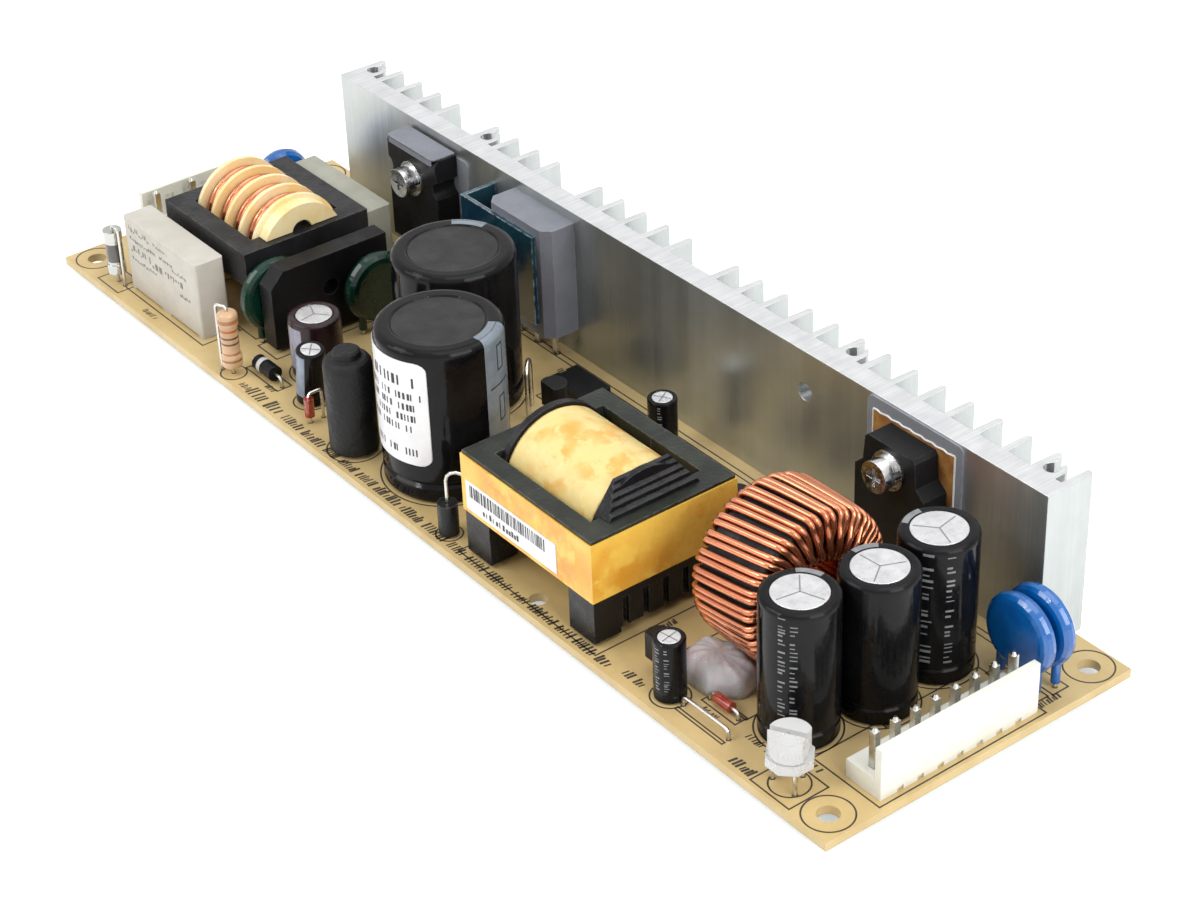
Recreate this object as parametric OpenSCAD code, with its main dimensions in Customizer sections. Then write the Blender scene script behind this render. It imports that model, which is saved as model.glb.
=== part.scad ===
// Open frame power supply: a long single-sided board with a finned heatsink along its rear edge.
// Places on the board are measured from the input end (x), from the front edge (y)
// and from the top face (z). The part's origin is the centre of the four mounting
// holes on the underside of the board.

/* [Board] */
// Length of the board
board_l = 222; // [220:0.5:226]
// Width of the board
board_w = 62; // [62:0.5:66]
// Thickness of the board
board_t = 1.6; // [1.2:0.1:2]
// Distance of each mounting hole from the two nearest edges
hole_inset = 4.5; // [4:0.1:5]
// Diameter of the mounting holes
hole_d = 3.6; // [3.2:0.1:3.8]
// Place of the spare hole by the front edge
spare_hole_x = 149.3; // [146:0.1:152]
// Distance of the spare hole from the front edge
spare_hole_y = 3.6; // [3:0.1:4]
// Diameter of the spare hole
spare_hole_d = 3.2; // [2.8:0.1:3.4]
// Play between a lead and its hole, across the diameter
lead_play = 0.3; // [0.2:0.05:0.4]
// Height of the solder joints under the board
solder_h = 1.2; // [0.8:0.1:1.4]
// Width of the solder land round a lead
solder_rim = 0.75; // [0.5:0.05:0.8]
// How far pins and screw heads stand out under the board
underside_h = 2; // [1.8:0.1:2.4]

/* [Heatsink] */
// Where the heatsink starts
sink_x = 19.9; // [19:0.1:21]
// Length of the heatsink
sink_l = 190.3; // [189:0.1:191]
// Height of the heatsink
sink_h = 29.1; // [28.8:0.1:32]
// Distance of the mounting face from the front edge
sink_face_y = 53.9; // [53.8:0.1:54.2]
// Thickness of the plate that carries the fins
sink_plate_t = 4.2; // [3.6:0.1:4.6]
// Depth from the mounting face to the fin tips
sink_depth = 9.8; // [9.4:0.1:11]
// Number of fin places
fin_places = 31; // [31]
// Thickness of a fin at its root
fin_root_t = 1.5; // [1.4:0.1:1.8]
// Thickness of a fin at its tip
fin_tip_t = 1.2; // [0.9:0.1:1.4]
// Bore of the screw ports in the heatsink
port_d = 2.7; // [2.5:0.05:2.8]
// Wall round a screw port
port_wall = 1; // [0.9:0.1:1.2]
// Width of the slit that opens each screw port
port_slit = 1.4; // [1:0.1:1.6]
// Place of the spare hole in the mounting face
sink_hole_x = 155.9; // [152:0.1:160]
// Height of the spare hole
sink_hole_z = 21.5; // [19:0.1:23]
// Diameter of the spare hole
sink_hole_d = 3.3; // [2.8:0.1:3.6]

/* [Screws] */
// Shank diameter of the screws that hold the power devices
screw_d = 2.9; // [2.7:0.1:3]
// Head diameter of those screws
screw_head_d = 5.5; // [5:0.1:5.8]
// Head height of those screws
screw_head_h = 2; // [1.6:0.1:2.2]
// Depth of the screw in the heatsink
screw_grip = 3.6; // [3:0.1:3.8]
// Outer diameter of the flat washers
washer_d = 6.8; // [6:0.1:7]
// Thickness of the flat washers
washer_t = 0.5; // [0.4:0.05:0.6]
// Outer diameter of the spring washers
spring_d = 5.4; // [5:0.1:5.6]
// Thickness of the spring washers
spring_t = 0.8; // [0.6:0.05:1]
// Head diameter of the screws under the heatsink
foot_head_d = 5; // [4.6:0.1:5.2]
// Length of those screws above the board
foot_screw_l = 6; // [5:0.5:8]

/* [Power devices] */
// Width of a power device's body
device_w = 15.6; // [15:0.1:16]
// Height of the body
device_h = 20.8; // [20:0.1:21.2]
// Thickness of the body
device_t = 4.9; // [4.6:0.1:5]
// Distance of the screw hole below the body's top
device_hole_drop = 6.2; // [5.8:0.1:6.6]
// Diameter of the screw hole
device_hole_d = 3.6; // [3.4:0.1:3.8]
// Spacing of the device's leads
device_pitch = 5.45; // [5.3:0.05:5.5]
// Width of a device's lead
device_lead_w = 1.2; // [1:0.1:1.3]
// Thickness of a device's lead
device_lead_t = 0.6; // [0.5:0.1:0.7]
// Centre of the switching transistor
switch_x = 51.2; // [50:0.1:52]
// Top of the switching transistor
switch_top = 27; // [26:0.1:27.4]
// Centre of the clamped transistor
clamped_x = 85.6; // [85:0.1:86]
// Top of the clamped transistor
clamped_top = 26.2; // [25.6:0.1:26.4]
// Place of the screw that holds the clamp plate
clamp_screw_x = 73.4; // [73.2:0.1:73.6]
// Height of that screw
clamp_screw_z = 15; // [13:0.5:16]
// Centre of the output rectifier
rectifier_x = 181.9; // [181:0.1:182.4]
// Top of the output rectifier
rectifier_top = 26.1; // [25.6:0.1:26.4]
// Distance of the output rectifier's screw hole below its top
rectifier_hole_drop = 4.2; // [4:0.1:4.6]
// Thickness of the thermal pads
pad_t = 0.4; // [0.3:0.05:0.5]
// Thickness of the mica sheet
mica_t = 0.2; // [0.15:0.05:0.3]
// Width of the rectifier's thermal pad
pad_w = 21.4; // [20:0.2:21.8]
// Width of the mica sheet
mica_w = 18.4; // [17.5:0.1:19]
// Wall of the silicone cap
cap_wall = 0.9; // [0.8:0.05:1]
// Bevel along the front edges of the silicone cap
cap_bevel = 1.6; // [1.2:0.1:1.8]
// Thickness of the clamp plate
clamp_t = 0.8; // [0.6:0.05:1]
// Where the clamp plate starts
clamp_x = 69.8; // [69:0.1:70.5]
// Length of the clamp plate along the heatsink
clamp_l = 21.6; // [20:0.1:22]
// Height of the clamp plate
clamp_h = 18; // [16:0.5:20]
// Top of the clamp plate
clamp_top = 25.6; // [25:0.1:26.5]

/* [Line filter] */
// Width of the film capacitors' case
film_w = 6.1; // [5.8:0.1:6.2]
// Length of the film capacitors' case
film_l = 26.2; // [25.5:0.1:26.4]
// Height of the film capacitors' case
film_h = 15.5; // [15:0.1:16.5]
// Corner radius of the film capacitors' case
film_r = 0.5; // [0.3:0.1:0.8]
// Lead spacing of the film capacitors
film_pitch = 22.5; // [22.5]
// Start of the front film capacitor
film_front_x = 18.7; // [18.5:0.1:19]
// Front face of the front film capacitor
film_front_y = 4.3; // [4:0.1:4.6]
// Start of the rear film capacitor
film_rear_x = 22.2; // [22:0.1:24]
// Front face of the rear film capacitor
film_rear_y = 38.9; // [38.8:0.1:40]
// Start of the line choke's core
choke_x = 22.3; // [22:0.1:22.6]
// Length of the line choke's core
choke_l = 28.2; // [27.6:0.1:28.4]
// Front face of the line choke's core
choke_y = 11.7; // [11.4:0.1:12]
// Width of the line choke's core
choke_w = 26.8; // [26.4:0.1:27]
// Thickness of the line choke's core
choke_t = 7; // [6:0.1:7.4]
// Height of the core's middle plane
choke_z = 14.1; // [14:0.1:14.6]
// Width of the core's bars
choke_bar = 4; // [3.8:0.1:4]
// Diameter of the core's middle leg
choke_leg_d = 6.4; // [6:0.1:6.6]
// Radius of the bobbin flanges
choke_flange_r = 9.2; // [8.8:0.1:9.25]
// Thickness of the bobbin flanges
choke_flange_t = 0.9; // [0.8:0.1:1]
// Wire diameter of the line choke
choke_wire_d = 0.9; // [0.8:0.05:0.95]
// Number of winding sections
choke_sections = 4; // [4]

/* [Input side] */
// Pitch of both connectors
conn_pitch = 3.96; // [3.96]
// Side of a connector pin
conn_pin = 1.14; // [1:0.02:1.2]
// Depth of a connector's base
conn_base = 7.4; // [7:0.1:7.6]
// Height of a connector's base
conn_base_h = 3.3; // [3:0.1:3.6]
// Height of a connector's wall
conn_wall_h = 9.2; // [9:0.1:9.6]
// Thickness of a connector's wall
conn_wall_t = 1.3; // [1.1:0.1:1.5]
// Height of the pin tips
conn_pin_h = 10.3; // [10:0.1:11]
// Distance of a pin row from the connector's outer face
conn_row = 3.6; // [3.4:0.1:3.8]
// Distance of each connector's outer face from its end of the board
conn_edge = 1.7; // [1.5:0.1:2]
// Number of ways of the input connector
input_ways = 5; // [5]
// Centre of the input connector
input_y = 26.5; // [26:0.1:27]
// Number of ways of the output connector
output_ways = 8; // [8]
// Centre of the output connector
output_y = 27.8; // [27.6:0.1:28]
// Centre of the fuse
fuse_x = 15.1; // [14.8:0.1:15.2]
// Distance of the fuse from the front edge
fuse_y = 3.4; // [3.2:0.1:3.8]
// Diameter of the fuse tube
fuse_d = 3.6; // [3.2:0.1:3.7]
// Length of the fuse tube with its caps
fuse_l = 9; // [8.5:0.1:9.5]
// Centre of the inrush thermistor across the board
therm_y = 16.2; // [16:0.1:16.6]
// Rear face of the inrush thermistor
therm_x = 51.1; // [51:0.1:51.2]
// Diameter of the inrush thermistor
therm_d = 14.6; // [14:0.1:15]
// Thickness of the inrush thermistor
therm_t = 2.9; // [2.6:0.1:3]
// Rear face of the bridge rectifier
bridge_x = 54.5; // [54.4:0.1:54.6]
// Front edge of the bridge rectifier
bridge_y = 12; // [11.8:0.1:12.4]
// Width of the bridge rectifier
bridge_w = 25.2; // [25:0.1:25.6]
// Height of the bridge rectifier's body
bridge_h = 15.4; // [15:0.1:15.8]
// Thickness of the bridge rectifier
bridge_t = 3.9; // [3.6:0.1:4]
// Chamfer on the bridge rectifier's front corner
bridge_chamfer = 3; // [2.5:0.1:3.4]
// Lead spacing of the bridge rectifier
bridge_pitch = 7.5; // [7.2:0.1:7.5]
// Place of the surge varistor along the board
varistor_x = 60.6; // [60:0.1:61]
// Centre of the surge varistor across the board
varistor_y = 32; // [31:0.1:33]
// Diameter of the surge varistor
varistor_d = 13.6; // [13:0.1:14]
// Thickness of the surge varistor
varistor_t = 3.4; // [3:0.1:3.6]
// Place of the input disc capacitor along the board
input_disc_x = 15.6; // [15:0.1:16]
// Centre of the input disc capacitor across the board
input_disc_y = 41; // [40:0.1:42]
// Diameter of the input disc capacitor
input_disc_d = 12; // [11:0.1:12.4]

/* [Primary side] */
// Diameter of the bulk capacitors
bulk_d = 22; // [21.6:0.1:22.2]
// Height of the bulk capacitors
bulk_h = 29.4; // [28:0.1:30]
// Place of the front bulk capacitor along the board
bulk_a_x = 109.2; // [109:0.1:109.6]
// Place of the front bulk capacitor across the board
bulk_a_y = 14.4; // [14:0.1:14.6]
// Place of the rear bulk capacitor along the board
bulk_b_x = 90.8; // [90.4:0.1:91]
// Place of the rear bulk capacitor across the board
bulk_b_y = 30.4; // [30:0.1:30.8]
// Lead spacing of the bulk capacitors
bulk_pitch = 10; // [10]
// Thickness of the labels
label_t = 0.12; // [0.1:0.01:0.15]
// Height of the bulk capacitor's label
label_h = 20; // [18:0.1:20.4]
// Height of the label's centre
label_z = 17.4; // [17:0.1:17.6]
// Arc covered by the bulk capacitor's label
label_arc = 92; // [80:1:100]
// Direction in which the label faces
label_turn = -92; // [-96:1:-88]
// Diameter of the resistor's body
resistor_d = 3.8; // [3.6:0.1:4]
// Length of the resistor's body
resistor_l = 11.5; // [11:0.1:12]
// Place of the resistor along the board
resistor_x = 58.4; // [58:0.1:58.6]
// Place of the resistor across the board
resistor_y = 2.6; // [2.4:0.1:2.8]
// Diameter of the starting capacitor
start_cap_d = 9.6; // [9:0.1:10]
// Height of the starting capacitor
start_cap_h = 11.6; // [11:0.1:12.5]
// Place of the starting capacitor along the board
start_cap_x = 67.9; // [67.6:0.1:68.4]
// Place of the starting capacitor across the board
start_cap_y = 14.9; // [14.4:0.1:15.4]
// Diameter of the damping coil's sleeve
damper_d = 8.6; // [8:0.1:8.8]
// Height of the damping coil
damper_h = 19.6; // [18:0.1:20.5]
// Place of the damping coil along the board
damper_x = 93.3; // [93:0.1:93.6]
// Place of the damping coil across the board
damper_y = 5.8; // [5.6:0.1:6]
// Diameter of the ferrite bead
bead_d = 3.5; // [3.2:0.1:3.6]
// Length of the ferrite bead
bead_l = 5.8; // [5:0.1:6.2]
// Place of the ferrite bead along the board
bead_x = 125.2; // [125:0.1:125.4]
// Place of the ferrite bead across the board
bead_y = 3.3; // [3:0.1:3.6]

/* [Transformer] */
// Start of the transformer core
xfmr_x = 131.5; // [131.2:0.1:131.8]
// Front face of the transformer core
xfmr_y = 2.7; // [2.6:0.1:3]
// Length of the two core halves together
xfmr_l = 33.8; // [33.6:0.1:34]
// Width of the core
xfmr_w = 28.5; // [28.4:0.1:28.8]
// Thickness of the core
xfmr_t = 11.4; // [11:0.1:11.6]
// Height of the core's underside above the board
xfmr_lift = 8.6; // [8.4:0.1:8.8]
// Thickness of the core's back
xfmr_back = 4.4; // [4:0.1:4.6]
// Thickness of the core's outer legs
xfmr_leg = 3.4; // [3.2:0.1:3.5]
// Diameter of the core's middle leg
xfmr_leg_d = 9.9; // [9.6:0.1:10]
// Height of the bobbin's flanges above the transformer winding
coil_margin = 0.45; // [0.35:0.05:0.75]
// Wall of the transformer bobbin
xfmr_wall = 0.9; // [0.8:0.05:1]
// Thickness of the yellow tape round the core
xfmr_tape_t = 0.25; // [0.2:0.05:0.3]
// Width of the tape round the core
xfmr_tape_h = 10.8; // [10:0.1:11]
// Width of each pin rail under the transformer
rail_w = 6.4; // [6:0.1:6.6]
// Number of pins in each rail
rail_pins = 6; // [6]
// Spacing of the transformer pins
rail_pitch = 4; // [4]

/* [Output side] */
// Outer diameter of the output choke's ring
ring_d = 25.4; // [25:0.1:25.6]
// Inner diameter of the ring
ring_bore = 14.5; // [14.3:0.1:14.8]
// Width of the ring
ring_w = 12.6; // [12.2:0.1:12.8]
// Corner radius of the ring
ring_r = 0.8; // [0.5:0.1:1]
// Place of the output choke along the board
ring_x = 184.6; // [184.4:0.1:184.8]
// Place of the output choke across the board
ring_y = 25.5; // [25.2:0.1:25.8]
// Turn of the output choke about the vertical
ring_turn = 0; // [-4:1:4]
// Wire diameter of the output choke
ring_wire_d = 0.95; // [0.9:0.05:1]
// Number of double turns on the output choke
ring_turns = 24; // [20:1:25]
// Diameter of the output capacitors
out_cap_d = 12.5; // [12:0.1:12.8]
// Height of the output capacitors
out_cap_h = 25; // [24:0.1:26]
// Diameter of the small electrolytic capacitors
small_cap_d = 5.2; // [5:0.1:5.4]
// Height of the small electrolytic capacitors
small_cap_h = 11; // [10:0.1:11.5]
// Diameter of the output disc capacitors
out_disc_d = 13.6; // [13:0.1:14]
// Thickness of the output disc capacitors
out_disc_t = 2.8; // [2.6:0.1:3]
// Distance of the trimmer from the output end of the board
trim_from_end = 13.1; // [12.8:0.1:13.4]
// Place of the trimmer across the board
trim_y = 4.7; // [4.6:0.1:4.8]
// Side of the trimmer's base
trim_side = 6.8; // [6.4:0.1:7]
// Diameter of the trimmer's rotor
trim_rotor_d = 6.6; // [6.2:0.1:6.6]
// Height of the trimmer's rotor
trim_rotor_h = 3.6; // [3.2:0.1:4]
// Height of the trimmer's base above the board
trim_lift = 4.2; // [3.8:0.1:4.6]
// Turn of the trimmer's rotor as it is set
trim_set = 30; // [0:1:90]

/* [Hidden] */
$fn = 48;

// Gap left between round parts that touch
touch = 0.05;

// ---- Paths, outlines and tubes

function unit(v) = v / norm(v);
function flat(lists) = [for (one = lists) each one];

// Points of an arc in the plane
function arc(x, y, r, from, to, steps = 4) =
    [for (i = [0:steps]) let(a = from + (to - from) * i / steps) [x + r * cos(a), y + r * sin(a)]];

// Rectangle with rounded corners, centred on the origin
function round_rect(l, w, r) = concat(
    arc(l / 2 - r, w / 2 - r, r, 0, 90), arc(r - l / 2, w / 2 - r, r, 90, 180),
    arc(r - l / 2, r - w / 2, r, 180, 270), arc(l / 2 - r, r - w / 2, r, 270, 360));

// Round tube along a path; each point's side vector keeps the rings from twisting
module tube(path, sides, r, n = 8) {
    last = len(path) - 1;
    rings = [for (i = [0:last])
        let(along = unit(path[min(i + 1, last)] - path[max(i - 1, 0)]),
            u = unit(cross(along, sides[i])), v = cross(along, u))
        for (k = [0:n - 1]) path[i] + r * (cos(360 * k / n) * u + sin(360 * k / n) * v)];
    skin = [for (i = [0:last - 1], k = [0:n - 1])
        let(a = i * n + k, b = i * n + (k + 1) % n)
        each [[b, a, b + n], [b + n, a, a + n]]];
    ends = [[for (k = [0:n - 1]) k], [for (k = [0:n - 1]) last * n + n - 1 - k]];
    polyhedron(rings, concat(skin, ends));
}

// Wire that rises at p, crosses over at height h and comes down at q
function staple(p, q, h, bend, low_p, low_q) =
    let(d = unit(q - p), span = norm(q - p),
        turn = [for (a = [0:30:90]) [bend - bend * cos(a), h - bend + bend * sin(a)]],
        flat_path = concat([[0, low_p]], turn, [for (i = [3:-1:0]) [span - turn[i][0], turn[i][1]]],
            [[span, low_q]]))
    [for (s = flat_path) [p[0] + d[0] * s[0], p[1] + d[1] * s[0], s[1]]];

module wire(p, q, h, bend, d, low_p = -board_t, low_q = -board_t) {
    path = staple(p, q, h, bend, low_p, low_q);
    side = unit(cross([q[0] - p[0], q[1] - p[1], 0], [0, 0, 1]));
    on_board() tube(path, [for (s = path) side], d / 2);
}

// ---- Places on the board

module on_board(x = 0, y = 0, z = 0)
    translate([x - board_l / 2, y - board_w / 2, board_t + z]) children();

function pair(x, y, pitch, turn = 0) =
    [for (s = [-0.5, 0.5]) [x + s * pitch * cos(turn), y + s * pitch * sin(turn)]];
function with_size(points, d, top) = [for (p = points) [p[0], p[1], d, top]];

hole_dx = board_l - 2 * hole_inset;
hole_dy = board_w - 2 * hole_inset;

// ---- Route of the output choke's winding, about the middle of its ring

// One double turn goes once round the ring's section. In the bore the second wire
// rides on the first; over the end faces it moves across and outside it lies beside it.
ring_cover = 318;
ring_start = -90 + (360 - ring_cover) / 2;
ring_gap = ring_wire_d / 2 + 0.15;
ring_space = ring_wire_d * 1.12;
turn_points = 12;
turn_angle = ring_cover / ring_turns;

// Section steps of one turn: radius, place across the ring, and the outward normal there
ring_in = ring_bore / 2;
ring_out = ring_d / 2;
ring_half = ring_w / 2;
ring_diag = (ring_r + ring_gap) * sqrt(0.5) - ring_r;
ring_steps = [
    [ring_in - ring_gap, 2 - ring_half, -1, 0],
    [ring_in - ring_gap, ring_half - 2, -1, 0],
    [ring_in - ring_diag, ring_half + ring_diag, -sqrt(0.5), sqrt(0.5)],
    [ring_in + 1.6, ring_half + ring_gap, 0, 1],
    [ring_out - 1.6, ring_half + ring_gap, 0, 1],
    [ring_out + ring_diag, ring_half + ring_diag, sqrt(0.5), sqrt(0.5)],
    [ring_out + ring_gap, ring_half - 2, 1, 0],
    [ring_out + ring_gap, 2 - ring_half, 1, 0],
    [ring_out + ring_diag, -ring_half - ring_diag, sqrt(0.5), -sqrt(0.5)],
    [ring_out - 1.6, -ring_half - ring_gap, 0, -1],
    [ring_in + 1.6, -ring_half - ring_gap, 0, -1],
    [ring_in - ring_diag, -ring_half - ring_diag, -sqrt(0.5), -sqrt(0.5)]];
// How far the second wire has moved across from the top of the first, in degrees
ring_roll = [0, 0, 0, 45, 90, 90, 90, 90, 90, 90, 45, 0];
// Share of the way to the next turn
ring_share = [0, 0, 0, 0, 0, 0.15, 0.3, 0.7, 0.85, 1, 1, 1];

function ring_angle(i) = ring_start + (floor(i / turn_points) + ring_share[ring_index(i)]) * turn_angle;
function ring_index(i) = (i + 2 * turn_points) % turn_points;
function ring_side(i) = let(q = ring_steps[ring_index(i)], a = ring_angle(i))
    [q[3], q[2] * cos(a), q[2] * sin(a)];
function ring_point(i, second) =
    let(q = ring_steps[ring_index(i)], a = ring_angle(i), roll = ring_roll[ring_index(i)])
    [q[1], q[0] * cos(a), q[0] * sin(a)]
        + second * ring_space * (cos(roll) * ring_side(i) + sin(roll) * [0, -sin(a), cos(a)]);

// The winding starts and ends on the rear end face, two steps before the first bore pass
ring_first = -2;
ring_last = ring_turns * turn_points - 2;
function ring_lead(i, second, z) = let(p = ring_point(i, second)) [p[0], p[1], z];

// ---- Derived places

film_mid_x = film_front_x + film_l / 2;
film_mid_y = film_front_y + film_w / 2;
film_rear_mid_x = film_rear_x + film_l / 2;
film_rear_mid_y = film_rear_y + film_w / 2;
choke_mid_x = choke_x + choke_l / 2;
choke_mid_y = choke_y + choke_w / 2;
choke_room = choke_l - 2 * choke_bar;
xfmr_mid_x = xfmr_x + xfmr_l / 2;
xfmr_mid_y = xfmr_y + xfmr_w / 2;
xfmr_mid_z = xfmr_lift + xfmr_t / 2;
xfmr_room = xfmr_l - 2 * xfmr_back;
therm_mid_x = therm_x + therm_t / 2;
bridge_mid_x = bridge_x + bridge_t / 2;
varistor_mid_x = varistor_x + varistor_t / 2;
mica_back_y = sink_face_y - pad_t;
rectifier_back_y = mica_back_y - mica_t;
switch_back_y = sink_face_y - pad_t;
clamped_back_y = sink_face_y - 0.6;
cap_front_y = clamped_back_y - device_t - cap_wall - 0.1;
input_row_x = conn_edge + conn_row;
output_row_x = board_l - conn_edge - conn_row;
resistor_foot = [resistor_x - 2.3, resistor_y - 0.9];
small_caps = [[75.6, 8.2, 8], [129.2, 45.4, 0], [181.9, 4.3, 0]];
trim_x = board_l - trim_from_end;
out_caps = [[board_l - 22, 14.2], [board_l - 19.2, 27.2], [board_l - 20.6, 40.4]];
out_discs = [[board_l - 8.4, 46.2], [board_l - 8.1, 50]];
links = [[[185, 4.3], [195.6, 4.3]], [[118.5, 48], [118.5, 38]]];
link_h = 1.8;
link_d = 0.6;
bead_leads = [[bead_x, bead_y], [bead_x + 2.6, bead_y + 2.4]];
glass_spots = [[[81.6, 4.2], [81.6, 6.9]], [[186.4, 8.4], [193, 8.4]]];
snubber_leads = [[58.8, 6.6], [68.4, 6.6]];
// Small three-lead packages: place and height above the board
driver_spots = [[114.6, 33.4, 7.4], [160, 36, 7.4], [176.3, 6.8, 2.5]];
chip_size = [9.8, 6.4, 3.4];
chip_x = 106.6;
chip_y = 44.6;
opto_spots = [[141, 40], [152, 40]];
lead_d = 0.6;
thick_lead_d = 1;

function device_leads(x, back) = [for (i = [-1:1]) [x + i * device_pitch, back - 2.2]];
function rail_holes(x) = [for (i = [0:rail_pins - 1])
    [x, xfmr_mid_y + (i - (rail_pins - 1) / 2) * rail_pitch]];
function conn_holes(x, y, ways, step) = [for (i = [0:step:ways - 1])
    [x, y + (i - (ways - 1) / 2) * conn_pitch]];
function ring_place(p) = [ring_x + p[0] * cos(ring_turn) - p[1] * sin(ring_turn),
    ring_y + p[0] * sin(ring_turn) + p[1] * cos(ring_turn)];

rail_a_x = xfmr_x + rail_w / 2;
rail_b_x = xfmr_x + xfmr_l - rail_w / 2;
xfmr_holes = concat(rail_holes(rail_a_x), rail_holes(rail_b_x));
input_holes = conn_holes(input_row_x, input_y, input_ways, 2);
output_holes = conn_holes(output_row_x, output_y, output_ways, 1);
choke_holes = [for (x = [-0.5, 0.5], y = [-4, 4]) [choke_mid_x + x * (choke_room - 1.8), choke_mid_y + y]];
ring_holes = [for (i = [ring_first, ring_last], second = [0, 1]) ring_place(ring_point(i, second))];
chip_holes = [for (x = [-1.5:1.5], y = [-3.81, 3.81]) [chip_x + x * 2.54, chip_y + y]];
opto_holes = [for (p = opto_spots, x = [-1.27, 1.27], y = [-3.81, 3.81]) [p[0] + x, p[1] + y]];
trim_holes = [[trim_x - 2.5, trim_y - 1.2], [trim_x + 2.5, trim_y - 1.2], [trim_x, trim_y + 2.5]];
switch_holes = device_leads(switch_x, switch_back_y);
clamped_holes = device_leads(clamped_x, clamped_back_y);
rectifier_holes = device_leads(rectifier_x, rectifier_back_y);

// Straight round leads: place, diameter and height of the upper end above the board
straight_leads = concat(
    with_size(pair(film_mid_x, film_mid_y, film_pitch), 0.8, 0),
    with_size(pair(film_rear_mid_x, film_rear_mid_y, film_pitch), 0.8, 0),
    with_size(choke_holes, thick_lead_d, 0),
    with_size(pair(therm_mid_x, therm_y, 7.5, 90), 0.8, 1),
    with_size([for (i = [-1.5:1.5]) [bridge_mid_x, bridge_y + bridge_w / 2 + i * bridge_pitch]],
        thick_lead_d, 1),
    with_size(pair(varistor_mid_x, varistor_y, 7.5, 90), 0.8, 1),
    with_size(pair(input_disc_x, input_disc_y, 7.5, 90), lead_d, 1),
    with_size(pair(start_cap_x, start_cap_y, 5, 90), lead_d, 0.3),
    with_size(pair(damper_x, damper_y, 4, 90), 0.8, 0.3),
    with_size(pair(bulk_a_x, bulk_a_y, bulk_pitch, 90), 1.4, 0),
    with_size(pair(bulk_b_x, bulk_b_y, bulk_pitch, 90), 1.4, 0),
    with_size(flat([for (c = small_caps) pair(c[0], c[1], 2.5, 0)]), lead_d, 0.2),
    with_size(flat([for (c = out_caps) pair(c[0], c[1], 5, 90)]), 0.8, 0),
    with_size(flat([for (c = out_discs) pair(c[0], c[1], 7.5, 0)]), lead_d, 0.6),
    [for (p = driver_spots, i = [-1:1]) [p[0] + 1.27 * i, p[1], 0.5, p[2]]],
    with_size(chip_holes, 0.5, 0.4),
    with_size(opto_holes, 0.5, 0.4));

// Every other lead that has a hole of its own
bent_leads = concat(
    with_size([[fuse_x, fuse_y], [fuse_x + 2.45, fuse_y]], lead_d, 0),
    with_size([[resistor_x, resistor_y], resistor_foot], lead_d, 0),
    with_size(concat(bead_leads, flat(links), flat(glass_spots), snubber_leads), lead_d, 0),
    with_size(ring_holes, ring_wire_d, 0),
    with_size(trim_holes, 0.7, 0));
flat_leads = with_size(concat(switch_holes, clamped_holes, rectifier_holes), 1.4, 0);
pin_leads = concat(
    with_size(concat(input_holes, output_holes), conn_pin * 1.42, 0),
    with_size(xfmr_holes, 0.8, 0));
short_leads = concat(straight_leads, bent_leads, flat_leads);

// ---- Shared shapes

// Can with a shouldered top, a crimp groove and a thin rim round the top
module can(d, h) {
    r = d / 2;
    shoulder = d * 0.06;
    groove_z = h * 0.12;
    groove = d * 0.03;
    rim = r * 0.74;
    rotate_extrude() polygon(concat(
        [[0, 0], [r - shoulder / 2, 0], [r, shoulder / 2], [r, groove_z - groove]],
        [[r - groove, groove_z], [r, groove_z + groove]],
        arc(r - shoulder, h - shoulder, shoulder, 0, 90),
        [[rim, h], [rim - 0.15, h - 0.25], [0, h - 0.25]]));
}

// Dipped disc standing on edge, with the coating run down over its two leads
module disc(d, t, z, pitch) {
    r = d / 2;
    leg_top = z - sqrt(r * r - pitch * pitch / 4) + 1.6;
    translate([0, 0, z]) rotate([90, 0, 0]) rotate_extrude() polygon(concat(
        [[0, -t / 2]], arc(r - t / 2, 0, t / 2, -90, 90, 6), [[0, t / 2]]));
    for (s = [-0.5, 0.5])
        translate([s * pitch, 0, 1]) cylinder(h = leg_top - 1, d = 1.5, $fn = 24);
}

// Flat power package: the screw hole, two side notches and a sloped upper front edge
module device(x, back, top) {
    hole_z = top - device_hole_drop;
    difference() {
        on_board(x - device_w / 2, back - device_t, top - device_h) cube([device_w, device_t, device_h]);
        on_board(x, back + 1, hole_z) rotate([90, 0, 0]) cylinder(h = device_t + 2, d = device_hole_d);
        for (s = [-1, 1])
            on_board(x + s * (device_w / 2 + 0.5), back + 1, hole_z)
                rotate([90, 0, 0]) cylinder(h = device_t + 2, d = 3.6);
        on_board(x, back - device_t, top) rotate([45, 0, 0]) cube([device_w + 2, 1.2, 1.2], center = true);
    }
}

// Plain rectangle in the plane of the heatsink's face, with rounded corners
module sheet(x, back, z0, w, h, t, r)
    on_board(x, back, z0 + h / 2) rotate([90, 0, 0])
        linear_extrude(height = t) polygon(round_rect(w, h, r));

// Small three-lead package with a flat face
module small_package(p)
    on_board(p[0], p[1], p[2]) difference() {
        cylinder(h = 4.6, d = 4.6);
        translate([-3, -3.4, -1]) cube([6, 2, 7]);
    }

// ---- Board and heatsink

module pcb() color("burlywood") difference() {
    on_board(0, 0, -board_t) cube([board_l, board_w, board_t]);
    for (x = [-0.5, 0.5], y = [-0.5, 0.5])
        translate([x * hole_dx, y * hole_dy, -1]) cylinder(h = board_t + 2, d = hole_d);
    on_board(spare_hole_x, spare_hole_y, -board_t - 1) cylinder(h = board_t + 2, d = spare_hole_d);
    for (p = concat(short_leads, pin_leads))
        on_board(p[0], p[1], -board_t - 1) cylinder(h = board_t + 2, d = p[2] + lead_play, $fn = 24);
    for (x = port_places)
        on_board(x, port_y, -board_t - 1) cylinder(h = board_t + 2, d = screw_d + 0.3);
}

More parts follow.
